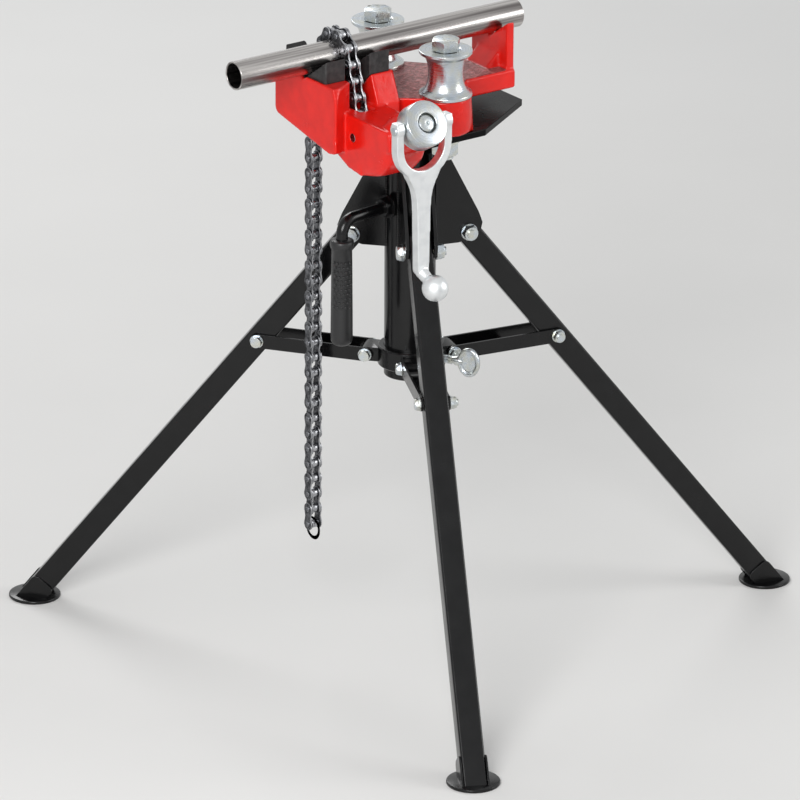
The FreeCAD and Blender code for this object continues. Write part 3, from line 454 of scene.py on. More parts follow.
@dataclass(frozen=True)
class BlackOxide(Finish):
    """Hardened steel jaws, blackened in a hot salt bath.

    The oxide is thin and matt with a blue-black cast, and machining grain shows faintly.
    """

    def dress(self, tree: Tree, shader: bpy.types.Node, place: Socket) -> None:
        """Oxide mottling and machining grain."""
        tint = blend(tree, spread(tree, noise(tree, place, 6.0, 4.0), 0.35, 0.7), self.colour, "#3c3b3b")
        rough = self.uneven(tree, noise(tree, place, 2.5, 3.0), 0.1, 0.08)
        skin = bump(tree, noise(tree, place, 0.9, 2.0), 0.06)
        wear(tree, shader, rough, tint, skin)


@dataclass(frozen=True)
class MouldedRubber(Finish):
    """Dip-moulded soft PVC grip.

    The mould gives a fine even matt grain and the material a soft broad highlight.
    """

    grain: float = 0.9

    def dress(self, tree: Tree, shader: bpy.types.Node, place: Socket) -> None:
        """Fine mould grain and slight bloom. The grain is drawn coarser than it is."""
        tint = blend(tree, spread(tree, noise(tree, place, 12.0, 3.0), 0.4, 0.8), self.colour, "#1e1e1f")
        skin = bump(tree, noise(tree, place, self.grain, 2.0), 0.06)
        rough = self.uneven(tree, noise(tree, place, 8.0, 3.0), 0.08, 0.06)
        wear(tree, shader, rough, tint, skin)


@dataclass(frozen=True)
class PaintedFloor(Finish):
    """Pale matt studio floor paint with hardly any sheen.

    Far from the object the floor runs out into the pale backdrop without an edge.
    """

    near: float = 1.7
    far: float = 4.5
    backdrop: str = BACKDROP

    def dress(self, tree: Tree, shader: bpy.types.Node, place: Socket) -> None:
        """Very faint roller marks."""
        tint = blend(tree, noise(tree, place, 300.0, 2.0), self.colour, "#e4e3e1")
        tree.links.new(tint, shader.inputs["Base Color"])

    def surface(self, tree: Tree, shader: bpy.types.Node, place: Socket) -> Socket:
        """Lit paint near the object and even backdrop far out, for the eye and reflections only."""
        reach = add(tree, "ShaderNodeVectorMath", None, {0: place}, operation="LENGTH").outputs["Value"]
        path = add(tree, "ShaderNodeLightPath").outputs
        seen = combine(tree, path["Is Camera Ray"], path["Is Glossy Ray"], "MAXIMUM")
        amount = combine(tree, spread(tree, reach, self.near, self.far), seen)
        glow = add(tree, "ShaderNodeEmission", {"Color": linear(self.backdrop), "Strength": 1.0})
        return add(tree, "ShaderNodeMixShader", None,
                   {0: amount, 1: shader.outputs["BSDF"], 2: glow.outputs[0]}).outputs[0]


ENAMEL = BakedEnamel("enamel_black_gloss", Slot.BLACK_ENAMEL, "#060607", 0.2, specular=0.36)
PLATE = BakedEnamel("enamel_black_plate", Slot.BLACK_ENAMEL, "#060506", 0.26, specular=0.1)
CAST_RED = CastEnamel("enamel_red_over_casting", Slot.RED_ENAMEL, "#e21d14", 0.2, specular=0.36)
ZINC = ZincPlate("zinc_plate_clear", Slot.ZINC, "#c8d0d8", 0.28, 1.0)
FORGED = BrightForging("chrome_on_forging", Slot.FORGING, "#eceeef", 0.38, 1.0)
PIPE = PolishedPipe("stainless_belt_polished", Slot.PIPE, "#cfcbc8", 0.19, 1.0)
CHAIN_DARK = OiledChain("chain_plate_oiled", Slot.CHAIN, "#3a3b3e", 0.32, 1.0)
CHAIN_PIN = OiledChain("chain_pin_worn", Slot.CHAIN, "#6f7074", 0.28, 1.0, worn="#8e8f94")
OXIDE = BlackOxide("steel_black_oxide", Slot.OXIDE, "#262526", 0.45, 0.35)
RUBBER = MouldedRubber("grip_moulded", Slot.RUBBER, "#1d1d1e", 0.36, 0.0, 1.52)
FLOOR = PaintedFloor("floor_paint_pale", None, "#e9e8e6", 0.9)
MADE: dict[str, bpy.types.Material] = {}


def material_of(finish: Finish) -> bpy.types.Material:
    """Builds a finish's material on first use and hands it out again later."""
    if finish.name not in MADE:
        MADE[finish.name] = finish.make()
    return MADE[finish.name]


# --- shapes -----------------------------------------------------------------------------
def aim(start: Point | Vector, direction: Point | Vector) -> Matrix:
    """Matrix that lays a shape drawn up the Z axis along a direction from a start."""
    turn = Vector((0, 0, 1)).rotation_difference(Vector(direction).normalized())
    return Matrix.Translation(Vector(start)) @ turn.to_matrix().to_4x4()


class Shape:
    """A bmesh in millimetres that grows by operators and becomes one finished object."""

    def __init__(self) -> None:
        """Starts empty."""
        self.mesh = bmesh.new()

    def adopt(self, node: str) -> "Shape":
        """Takes a merged copy of a CAD node and hands this shape back."""
        self.mesh.from_mesh(frame["nodes"][node].data)
        bmesh.ops.scale(self.mesh, vec=(1 / MM,) * 3, verts=self.mesh.verts)
        bmesh.ops.remove_doubles(self.mesh, verts=self.mesh.verts, dist=0.02)
        bmesh.ops.dissolve_limit(self.mesh, angle_limit=math.radians(0.6), verts=self.mesh.verts,
                                 edges=self.mesh.edges, use_dissolve_boundaries=False)
        return self

    def spun(self, profile: Sequence[tuple[float, float]], place: Matrix = Matrix(),
             steps: int = 64) -> "Shape":
        """Spins a closed profile of radius and height round the Z axis, then places it.

        Args:
            profile: Corner points, radius first.
            place: Where the finished turn goes.
            steps: Facets round the turn.

        Returns:
            This shape.
        """
        part = bmesh.new()
        corners = [part.verts.new((radius, 0.0, height)) for radius, height in profile]
        sides = [part.edges.new(pair) for pair in zip(corners, corners[1:] + corners[:1])]
        bmesh.ops.spin(part, geom=corners + sides, cent=(0, 0, 0), axis=(0, 0, 1),
                       angle=math.tau, steps=steps, use_merge=True)
        bmesh.ops.remove_doubles(part, verts=part.verts, dist=0.001)
        bmesh.ops.recalc_face_normals(part, faces=part.faces)
        return self.join(part, place)

    def hexagon(self, flats: float, height: float, place: Matrix, turn: float = 0.0) -> "Shape":
        """A hex head or nut whose corners are turned off at the free end.

        Args:
            flats: Width across the flats.
            height: Height along the axis.
            place: Where its seat goes.
            turn: Turn about its axis in radians.

        Returns:
            This shape.
        """
        part = bmesh.new()
        corner = flats / math.sqrt(3)
        bmesh.ops.create_cone(part, cap_ends=True, segments=6, radius1=corner, radius2=corner,
                              depth=height, matrix=Matrix.Translation((0, 0, height / 2)))
        drop = (corner - flats / 2) * 0.9
        tops = [e for e in part.edges if all(v.co.z > height - 0.01 for v in e.verts)]
        bmesh.ops.subdivide_edges(part, edges=tops, cuts=5)
        for vert in part.verts:
            if vert.co.z > height - 0.01:
                reach = vert.co.xy.length
                vert.co.z -= drop * max(0.0, (reach - flats / 2) / (corner - flats / 2)) * 0.8
        caps = [f for f in part.faces if len(f.verts) > 12]
        bmesh.ops.inset_region(part, faces=caps, thickness=flats * 0.035, depth=drop * 0.35)
        bmesh.ops.rotate(part, cent=(0, 0, 0), matrix=Matrix.Rotation(turn, 3, "Z"), verts=part.verts)
        return self.join(part, place)

    def thread(self, diameter: float, pitch: float, length: float, place: Matrix) -> "Shape":
        """A helical ridge that stands on a shank.

        Args:
            diameter: Outside diameter of the thread.
            pitch: Distance between turns.
            length: Threaded length.
            place: Where the first turn starts.

        Returns:
            This shape.
        """
        part = bmesh.new()
        crest = diameter / 2
        root = crest - pitch * 0.55
        spots = ((root, -0.42), (crest, -0.08), (crest, 0.08), (root, 0.42))
        ring = [part.verts.new((radius, 0, rise * pitch)) for radius, rise in spots]
        face = part.faces.new(ring)
        facets = 24
        turns = max(1, int(length / pitch))
        bmesh.ops.spin(part, geom=[face] + face.edges[:] + ring, cent=(0, 0, 0), axis=(0, 0, 1),
                       dvec=(0, 0, pitch / facets), angle=math.tau * turns, steps=facets * turns)
        bmesh.ops.recalc_face_normals(part, faces=part.faces)
        return self.join(part, place)

    def dome(self, radius: float, place: Matrix, squash: float = 1.0) -> "Shape":
        """A small raised dot, its lower half sunk in the surface."""
        part = bmesh.new()
        bmesh.ops.create_icosphere(part, subdivisions=1, radius=radius)
        bmesh.ops.scale(part, vec=(1, 1, squash), verts=part.verts)
        return self.join(part, place)

    def join(self, part: bmesh.types.BMesh, place: Matrix = Matrix()) -> "Shape":
        """Adds another bmesh to this one, placed by a matrix, and frees it."""
        bmesh.ops.transform(part, matrix=place, verts=part.verts)
        scrap = bpy.data.meshes.new("scrap")
        part.to_mesh(scrap)
        part.free()
        self.mesh.from_mesh(scrap)
        bpy.data.meshes.remove(scrap)
        return self

    def data(self, name: str) -> bpy.types.Mesh:
        """Turns the shape into a mesh in metres and frees it."""
        bmesh.ops.scale(self.mesh, vec=(MM,) * 3, verts=self.mesh.verts)
        data = bpy.data.meshes.new(name)
        self.mesh.to_mesh(data)
        self.mesh.free()
        return data

    def become(self, name: str, finish: Finish, body: str, *nodes: str, rounding: float = 0.0,
               crease: float = 35.0) -> bpy.types.Object:
        """Turns the shape into a dressed object, with the arguments of finish_object."""
        return finish_object(name, self.data(name), finish, body, *nodes, rounding=rounding,
                             crease=crease)


def placed(name: str, data: bpy.types.ID | None) -> bpy.types.Object:
    """A new object in the scene: a piece, a lamp, a camera, or an empty where there is no data."""
    item = bpy.data.objects.new(name, data)
    bpy.context.scene.collection.objects.link(item)
    return item


def finish_object(name: str, data: bpy.types.Mesh, finish: Finish, body: str, *nodes: str,
                  rounding: float = 0.0, crease: float = 35.0) -> bpy.types.Object:
    """Dresses a mesh in metres and hangs it on its body.

    Args:
        name: Name of the object.
        data: Its mesh.
        finish: Finish that it wears.
        body: Body that carries it.
        *nodes: CAD nodes that it stands for.
        rounding: Width of a live bevel on its edges in millimetres, or 0.
        crease: Angle in degrees above which an edge stays sharp.

    Returns:
        The finished object.
    """
    data.shade_smooth()
    data.set_sharp_from_angle(angle=math.radians(crease))
    data.materials.clear()
    data.materials.append(material_of(finish))
    piece = placed(name, data)
    if rounding > 0:
        edge = piece.modifiers.new("rounding", "BEVEL")
        edge.width = rounding * MM
        edge.segments = 2
        edge.limit_method = "ANGLE"
        edge.angle_limit = math.radians(32)
        edge.harden_normals = False
        edge.miter_outer = "MITER_ARC"
    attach(piece, body)
    if nodes:
        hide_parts(*nodes)
    log.info("%s on %s: %d faces", name, body, len(data.polygons))
    return piece


def body_of(node: str) -> str:
    """Body that carries a CAD node."""
    return frame["nodes"][node]["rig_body"]


def middle(node: str) -> Vector:
    """Centre of a CAD node's box in millimetres."""
    low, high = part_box(node)
    return (low + high) / 2 / MM


def dressed(node: str, suffix: str, finish: Finish, rounding: float) -> None:
    """A merged copy of a CAD node with softly rounded edges, named after the node."""
    Shape().adopt(node).become(node + suffix, finish, body_of(node), node, rounding=rounding)


def block(size: Point, centre: Point, flat: bool = False) -> bmesh.types.BMesh:
    """A box round a centre, or a single level face where flat is true."""
    part = bmesh.new()
    if flat:
        bmesh.ops.create_grid(part, x_segments=1, y_segments=1, size=0.5)
    else:
        bmesh.ops.create_cube(part, size=1.0)
    bmesh.ops.scale(part, vec=size, verts=part.verts)
    bmesh.ops.translate(part, vec=centre, verts=part.verts)
    return part


def only(kind: type, items: Iterable[Any]) -> list[Any]:
    """The elements of one kind in an operator's result."""
    return [item for item in items if isinstance(item, kind)]


def softened(name: str, shape: Shape, node: str, finish: Finish, voxel: float,
             passes: int) -> bpy.types.Object:
    """A cast or forged piece: its form remeshed and smoothed, so that every edge is rounded.

    Args:
        name: Name of the object.
        shape: Rough form in millimetres, which may be several solids that overlap.
        node: CAD node that it stands for.
        finish: Finish that it wears.
        voxel: Voxel size in millimetres.
        passes: Smoothing passes.

    Returns:
        The finished object.
    """
    rough = shape.data(name + "_form")
    form = placed(name + "_form", rough)
    grid = form.modifiers.new("grid", "REMESH")
    grid.mode = "VOXEL"
    grid.voxel_size = voxel * MM
    ease = form.modifiers.new("ease", "SMOOTH")
    ease.factor = 0.5
    ease.iterations = passes
    seen = form.evaluated_get(bpy.context.evaluated_depsgraph_get())
    data = bpy.data.meshes.new_from_object(seen)
    data.name = name
    bpy.data.objects.remove(form)
    bpy.data.meshes.remove(rough)
    return finish_object(name, data, finish, body_of(node), node, crease=180.0)


# --- sub-assemblies ---------------------------------------------------------------------
@dataclass
class Stand:
    """Column, brackets, legs, feet, braces and collar in black enamel."""

    plate_edge: float = 0.7
    tube_edge: float = 0.5
    pivot_radius: float = 66.0
    pivot_height: float = 500.0
    spread: float = 38.3
    foot_radius: float = 31.0
    foot_thick: float = 4.0
    column_radius: float = 30.15
    bracket_face: float = 18.5
    plate_top: float = 645.0
    plate_thick: float = 8.0
    ear_size: Point = (30.0, 2.2, 52.0)
    ear_out: float = 15.2
    ear_round: float = 7.0
    ear_sunk: float = 0.6
    seam_low: int = 492
    seam_high: int = 612
    bead: float = 2.2
    bead_step: int = 3
    ring_bead: float = 2.4
    ring_step: int = 6
    bead_out: float = 0.6
    bead_squash: float = 0.8

    def build(self) -> None:
        """Dresses the column, its brackets and all three legs."""
        self.plain("column", 0.5)
        self.plain("leg_brackets", self.plate_edge)
        self.plain("head_plate", 0.9, PLATE)
        self.plain("collar", 0.8)
        for leg in Leg:
            self.plain("leg_" + leg.label, self.tube_edge)
            self.plain("brace_" + leg.label, 0.5)
            self.foot(leg)
        self.welds()

    def plain(self, node: str, edge: float, finish: Finish = ENAMEL) -> None:
        """A painted copy of a node."""
        dressed(node, "_painted", finish, edge)

    def reach(self) -> float:
        """Distance from the column's axis to the middle of each foot."""
        drop = self.pivot_height - self.foot_thick
        return self.pivot_radius + drop * math.tan(math.radians(self.spread))

    def foot(self, leg: Leg) -> None:
        """Round foot plate with two upright ears welded to the sides of the leg tube.

        Args:
            leg: The leg that it belongs to.
        """
        drop = self.pivot_height - self.foot_thick
        run = drop / math.cos(math.radians(self.spread))
        turn = Matrix.Rotation(leg.heading, 4, "Z")
        rim, top = self.foot_radius, self.foot_thick
        profile = [(0, 0), (rim - 0.8, 0), (rim, 0.8), (rim, top - 1.4), (rim - 0.5, top - 0.4),
                   (rim - 1.6, top), (0, top)]
        shape = Shape().spun(profile, turn @ Matrix.Translation((self.reach(), 0, 0)), 72)
        hang = (turn @ Matrix.Translation((self.pivot_radius, 0, self.pivot_height))
                @ Matrix.Rotation(-math.radians(self.spread), 4, "Y"))
        for side in (-1, 1):
            ear = block(self.ear_size, (0, side * self.ear_out, -run))
            corners = [e for e in ear.edges if abs(e.verts[0].co.y - e.verts[1].co.y) > 1
                       and e.verts[0].co.z > -run]
            bmesh.ops.bevel(ear, geom=corners, offset=self.ear_round, segments=5, profile=0.5,
                            affect="EDGES", material=-1)
            bmesh.ops.transform(ear, matrix=hang, verts=ear.verts)
            cut = bmesh.ops.bisect_plane(ear, geom=ear.verts[:] + ear.edges[:] + ear.faces[:],
                                         plane_co=(0, 0, top - self.ear_sunk), plane_no=(0, 0, 1),
                                         clear_inner=True)
            bmesh.ops.contextual_create(ear, geom=only(bmesh.types.BMEdge, cut["geom_cut"]))
            shape.join(ear)
        node = "foot_" + leg.label
        shape.become(node + "_painted", ENAMEL, body_of(node), node, rounding=0.4)

    def welds(self) -> None:
        """Weld beads where the bracket plates and the head plate meet the column."""
        shape = Shape()
        across = self.bracket_face
        out = math.sqrt(self.column_radius ** 2 - across ** 2)
        for leg in Leg:
            turn = Matrix.Rotation(leg.heading, 4, "Z")
            for side in (-1, 1):
                for low in range(self.seam_low, self.seam_high, self.bead_step):
                    spot = turn @ Vector((out + self.bead_out, side * (across + 0.4), low))
                    shape.dome(self.bead, Matrix.Translation(spot), self.bead_squash)
        under = self.plate_top - self.plate_thick - 0.9
        for step in range(0, 360, self.ring_step):
            angle = math.radians(step)
            spot = Vector((math.cos(angle), math.sin(angle), 0)) * (self.column_radius + self.bead_out)
            shape.dome(self.ring_bead, Matrix.Translation(spot + Vector((0, 0, under))), self.bead_squash)
        shape.become("column_welds", ENAMEL, "stand", crease=180.0)


@dataclass
class Fasteners:
    """Zinc-plated bolts, nuts and washers of the stand."""

    edge: float = 0.35

    def build(self) -> None:
        """Dresses every bolt set."""
        nodes = ["leg_pivot_bolts", "collar_bolts"] + ["brace_bolt_" + leg.label for leg in Leg]
        for node in nodes:
            dressed(node, "_plated", ZINC, self.edge)


@dataclass
class RodHandle:
    """L-shaped rod and its moulded grip with a patch of raised dots."""

    grip_radius: float = 13.0
    rod_radius: float = 7.0
    rows: int = 11
    columns: int = 5
    dot: float = 2.0
    dot_angle: float = 23.0
    row_step: float = 5.4
    facing: float = 233.0
    first_row: float = 26.0
    sunk: float = 0.5

    def build(self) -> None:
        """Rod with hex flange, then the grip."""
        dressed("rod_handle", "_painted", ENAMEL, 0.5)
        self.grip()

    def grip(self) -> None:
        """Moulded sleeve: rolled top, slight belly, round end and staggered dots."""
        low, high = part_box("handle_grip")
        axis = middle("handle_grip")
        base, top = low.z / MM, high.z / MM
        length = top - base
        r = self.grip_radius
        profile = [(self.rod_radius, length), (r - 1.6, length), (r + 0.4, length - 0.8),
                   (r + 1.0, length - 2.4), (r + 1.0, length - 7.6), (r + 0.2, length - 9.6),
                   (r - 1.0, length - 11), (r - 0.7, length * 0.75), (r - 0.4, length * 0.5),
                   (r - 0.1, length * 0.25), (r, 10), (r - 0.5, 5.5), (r - 2.2, 2.4), (r - 5.4, 0.6),
                   (r - 9, 0), (0, 0), (0, 12), (self.rod_radius, 12)]
        shape = Shape().spun(profile, Matrix.Translation((axis.x, axis.y, base)), 48)
        for row in range(self.rows):
            for column in range(self.columns):
                offset = (column - (self.columns - 1) / 2 + 0.5 * (row % 2)) * self.dot_angle
                angle = math.radians(self.facing + offset)
                out = Vector((math.cos(angle), math.sin(angle), 0))
                height = top - self.first_row - row * self.row_step
                spot = Vector((axis.x, axis.y, height)) + out * (r - self.sunk)
                shape.dome(self.dot, aim(spot, out))
        shape.become("handle_grip_moulded", RUBBER, "stand", "handle_grip", crease=50.0)


@dataclass
class ViseBody:
    """Red cast body with its jaws, screws and cross pin."""

    voxel: float = 1.5
    passes: int = 5
    nose_back: float = -86.0
    nose_top: float = 664.0
    nose_passes: int = 90

    def build(self) -> None:
        """Casting, jaws and small fittings."""
        body = softened("vise_casting_cast", Shape().adopt("vise_casting"), "vise_casting", CAST_RED,
                        self.voxel, self.passes)
        self.round_nose(body)
        for node in ("jaw_left", "jaw_right"):
            dressed(node, "_blackened", OXIDE, 0.5)
        dressed("jaw_screws", "_black", OXIDE, 0.2)
        dressed("guide_pin", "_steel", CHAIN_DARK, 0.6)

    def round_nose(self, body: bpy.types.Object) -> None:
        """Smooths the lower part of the casting's nose until its corners are gone."""
        part = bmesh.new()
        part.from_mesh(body.data)
        nose = [v for v in part.verts if v.co.y < self.nose_back * MM and v.co.z < self.nose_top * MM]
        for _ in range(self.nose_passes):
            bmesh.ops.smooth_vert(part, verts=nose, factor=0.5, use_axis_x=True, use_axis_y=True,
                                  use_axis_z=True)
        part.to_mesh(body.data)
        part.free()


@dataclass
class BendingRollers:
    """Grooved rollers on their hex bolts."""

    radius: float = 31.0
    waist: float = 20.3
    height: float = 55.0
    bore: float = 10.3
    lip: float = 5.0
    head: float = 12.5
    flats: float = 30.0
    shank: float = 9.9
    nut_high: float = 16.0
    washer_up: float = 22.0
    washer_hole: float = 10.2
    washer_rim: float = 18.5
    washer_thick: float = 3.0
    thread_shown: float = 6.0
    places: dict[str, float] = field(default_factory=lambda: {"roller_front": -67.0, "roller_rear": 67.0})

    def build(self) -> None:
        """Both rollers and their bolts."""
        for node, y in self.places.items():
            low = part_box(node)[0].z / MM
            finish = TurnedZinc("zinc_turned_" + node, Slot.ZINC, "#c6ced7", 0.24, 1.0,
                                centre=(0.0, y, 0.0))
            place = Matrix.Translation((0, y, low))
            Shape().spun(self.profile(), place, 96).become(node + "_turned", finish, body_of(node),
                                                           node, rounding=0.5)
        self.bolts()

    def profile(self) -> list[tuple[float, float]]:
        """Cross-section with a round groove for the pipe and two flared rims."""
        groove = []
        steps = 20
        half = self.height / 2 - self.lip
        depth = self.radius - self.waist - 2.2
        for i in range(steps + 1):
            s = -1 + 2 * i / steps
            groove.append((self.waist + depth * (1 - math.sqrt(max(0.0, 1 - s * s))),
                           self.height / 2 + s * half))
        return ([(self.bore, 0), (self.radius, 0), (self.radius, self.lip - 1.4)] + groove
                + [(self.radius, self.height - self.lip + 1.4), (self.radius, self.height),
                   (self.bore + 7.5, self.height), (self.bore + 6.7, self.height - 0.6),
                   (self.bore, self.height - 0.6)])

    def bolts(self) -> None:
        """Long hex bolts with washers and nuts under the plate."""
        low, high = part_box("roller_bolts")
        top = high.z / MM
        bottom = low.z / MM
        s, hole, rim, thick = self.shank, self.washer_hole, self.washer_rim, self.washer_thick
        shape = Shape()
        for y in self.places.values():
            seat = top - self.head
            shape.spun([(0, bottom), (s - 0.7, bottom), (s, bottom + 1.2), (s, seat + 1), (0, seat + 1)],
                       Matrix.Translation((0, y, 0)), 40)
            shape.hexagon(self.flats, self.head, aim((0, y, seat), (0, 0, 1)), 0.3)
            washer = bottom + self.washer_up
            shape.spun([(hole, 0), (rim, 0), (rim, thick), (hole, thick)],
                       Matrix.Translation((0, y, washer)), 48)
            shape.hexagon(self.flats, self.nut_high, aim((0, y, washer), (0, 0, -1)), 0.1)
            shape.thread(*COARSE_20, self.thread_shown, aim((0, y, bottom), (0, 0, 1)))
        shape.become("roller_bolts_plated", ZINC, "stand", "roller_bolts", rounding=0.4)


@dataclass
class TensionGear:
    """Tension nut, thrust washer, screw end and the fork handle."""

    tilt: float = 31.0
    nut_face: Point = (-105.0, -176.0, 707.0)
    nut_radius: float = 27.0
    nut_length: float = 26.0
    recess: float = 12.0
    recess_deep: float = 9.0
    bore: float = 10.3
    trunnion: float = 5.0
    trunnion_long: float = 18.0
    arm_wide: float = 10.0
    arm_deep: float = 12.5
    arm_x: float = 33.4
    ball: float = 15.4
    ball_shift: float = 3.0
    ball_out: float = 24.0
    neck_down: float = 176.0
    yoke_down: float = 24.0
    arm_high: float = 34.0
    arm_down: float = 7.5
    eye_radius: float = 8.6
    waist: tuple[tuple[float, float], ...] = ((-54.5, 23.0), (-60, 20.5), (-68, 16.0), (-76, 12.6),
                                              (-86, 10.4), (-98, 9.4), (-174, 7.6), (-178, 6.6))

    @property
    def out(self) -> Vector:
        """Direction of the screw, out of the arm towards the operator."""
        tilt = math.radians(self.tilt)
        return Vector((0, -math.cos(tilt), math.sin(tilt)))

    @property
    def nut_centre(self) -> Vector:
        """Middle of the nut, where the trunnions are."""
        return Vector(self.nut_face) - self.out * (self.nut_length / 2)

    def build(self) -> None:
        """Nut, washer, screw and fork."""
        face = aim(self.nut_face, -self.out)
        turned = TurnedZinc("zinc_turned_nut", Slot.ZINC, "#c4cbd3", 0.26, 1.0, centre=self.nut_face,
                            tilt=math.radians(90 - self.tilt))
        r, end, bore, deep = self.nut_radius, self.nut_length, self.bore, self.recess_deep
        profile = [(self.recess, 0.6), (self.recess + 0.8, 0), (r - 2.5, 0), (r - 0.7, 0.7), (r, 2.5),
                   (r, end - 2), (r - 2, end), (bore, end), (bore, deep), (self.recess - 0.8, deep),
                   (self.recess, deep - 1)]
        shape = Shape().spun(profile, face, 96)
        thick, long = self.trunnion, self.trunnion_long
        stub = [(0, 0), (thick, 0), (thick, long - 0.6), (thick - 0.7, long), (0, long)]
        for side in (-1, 1):
            start = self.nut_centre + Vector((side * (r - self.trunnion), 0, 0))
            shape.spun(stub, aim(start, (side, 0, 0)), 32)
        shape.become("tension_nut_turned", turned, body_of("tension_nut"), "tension_nut", rounding=0.3)
        dressed("thrust_washer", "_plated", ZINC, 0.4)
        self.screw(face)
        dressed("guide_roller", "_steel", CHAIN_PIN, 0.5)
        self.fork()

    def screw(self, face: Matrix) -> None:
        """Draw screw with its thread, and the domed, centre-drilled end in the nut's recess."""
        shape = Shape().adopt("tension_screw")
        r = self.recess - 2.2
        shape.spun([(0, 4.5), (1.1, 3.4), (1.9, 0.9), (2.3, 0.65), (5.0, 0.75), (8.2, 1.3), (r, 2.3),
                    (r, 8.2), (0, 8.2)], face, 48)
        shape.thread(*COARSE_20, 20.0, face @ Matrix.Translation((0, 0, self.nut_length + 6)))
        shape.become("tension_screw_plated", ZINC, body_of("tension_screw"), "tension_screw",
                     rounding=0.3)

    def fork(self) -> None:
        """Forged fork: a half ring with two upright arms, a waisted bar, a neck and a ball."""
        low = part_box("fork_handle")[0]
        centre = self.nut_centre
        shape = Shape()
        wide, deep = self.arm_wide, self.arm_deep
        half_ring = block((wide, deep, 1), (self.arm_x, 0, 0), flat=True)
        bmesh.ops.spin(half_ring, geom=half_ring.faces[:] + half_ring.edges[:] + half_ring.verts[:],
                       cent=(0, 0, 0), axis=(0, 1, 0), angle=math.pi, steps=28)
        bmesh.ops.recalc_face_normals(half_ring, faces=half_ring.faces)
        shape.join(half_ring, Matrix.Translation(centre - Vector((0, 0, self.yoke_down))))
        for side in (-1, 1):
            arm = block((wide, deep, self.arm_high), (side * self.arm_x, 0, -self.arm_down))
            shape.join(arm, Matrix.Translation(centre))
            start = centre + Vector((side * (self.arm_x - wide / 2), 0, 1))
            shape.spun([(0, 0), (self.eye_radius, 0), (self.eye_radius, wide), (0, wide)],
                       aim(start, (side, 0, 0)), 40)
        shape.join(self.bar(), Matrix.Translation(centre))
        ball = Vector((centre.x + self.ball_shift, centre.y - self.ball_out, low.z / MM + self.ball))
        neck = centre + Vector((0, -1, -self.neck_down))
        reach = ball - neck
        shape.spun([(0, -6), (7.0, -6), (7.6, 2), (6.6, reach.length * 0.55), (7.4, reach.length),
                    (0, reach.length)], aim(neck, reach), 32)
        sphere = bmesh.new()
        bmesh.ops.create_uvsphere(sphere, u_segments=48, v_segments=32, radius=self.ball)
        shape.join(sphere, Matrix.Translation(ball))
        softened("fork_handle_forged", shape, "fork_handle", FORGED, voxel=0.9, passes=9)

    def bar(self) -> bmesh.types.BMesh:
        """Bar below the yoke, drawn down from the trunnions: wide at first, then tapering."""
        top, half = self.waist[0]
        part = block((2 * half, self.arm_deep, 1), (0, 0, top), flat=True)
        face = next(iter(part.faces))
        for (above, wide), (below, narrow) in zip(self.waist, self.waist[1:]):
            grown = bmesh.ops.extrude_face_region(part, geom=[face])["geom"]
            verts = only(bmesh.types.BMVert, grown)
            face = only(bmesh.types.BMFace, grown)[0]
            bmesh.ops.translate(part, vec=(0, 0, below - above), verts=verts)
            bmesh.ops.scale(part, vec=(narrow / wide, 1, 1), verts=verts)
        bmesh.ops.recalc_face_normals(part, faces=part.faces)
        return part


@dataclass(frozen=True)
class Turn:
    """A round stretch of the chain's path in the YZ plane; a negative radius bends it downwards."""

    y: float
    z: float
    radius: float

    def heading_to(self, other: "Turn") -> float:
        """Heading of the straight run that touches this turn and the next."""
        dy, dz = other.y - self.y, other.z - self.z
        return math.atan2(dz, dy) - math.asin((other.radius - self.radius) / math.hypot(dy, dz))

    def touch(self, heading: float) -> tuple[float, float]:
        """Point of the turn where the path has this heading."""
        return (self.y + self.radius * math.sin(heading), self.z - self.radius * math.cos(heading))


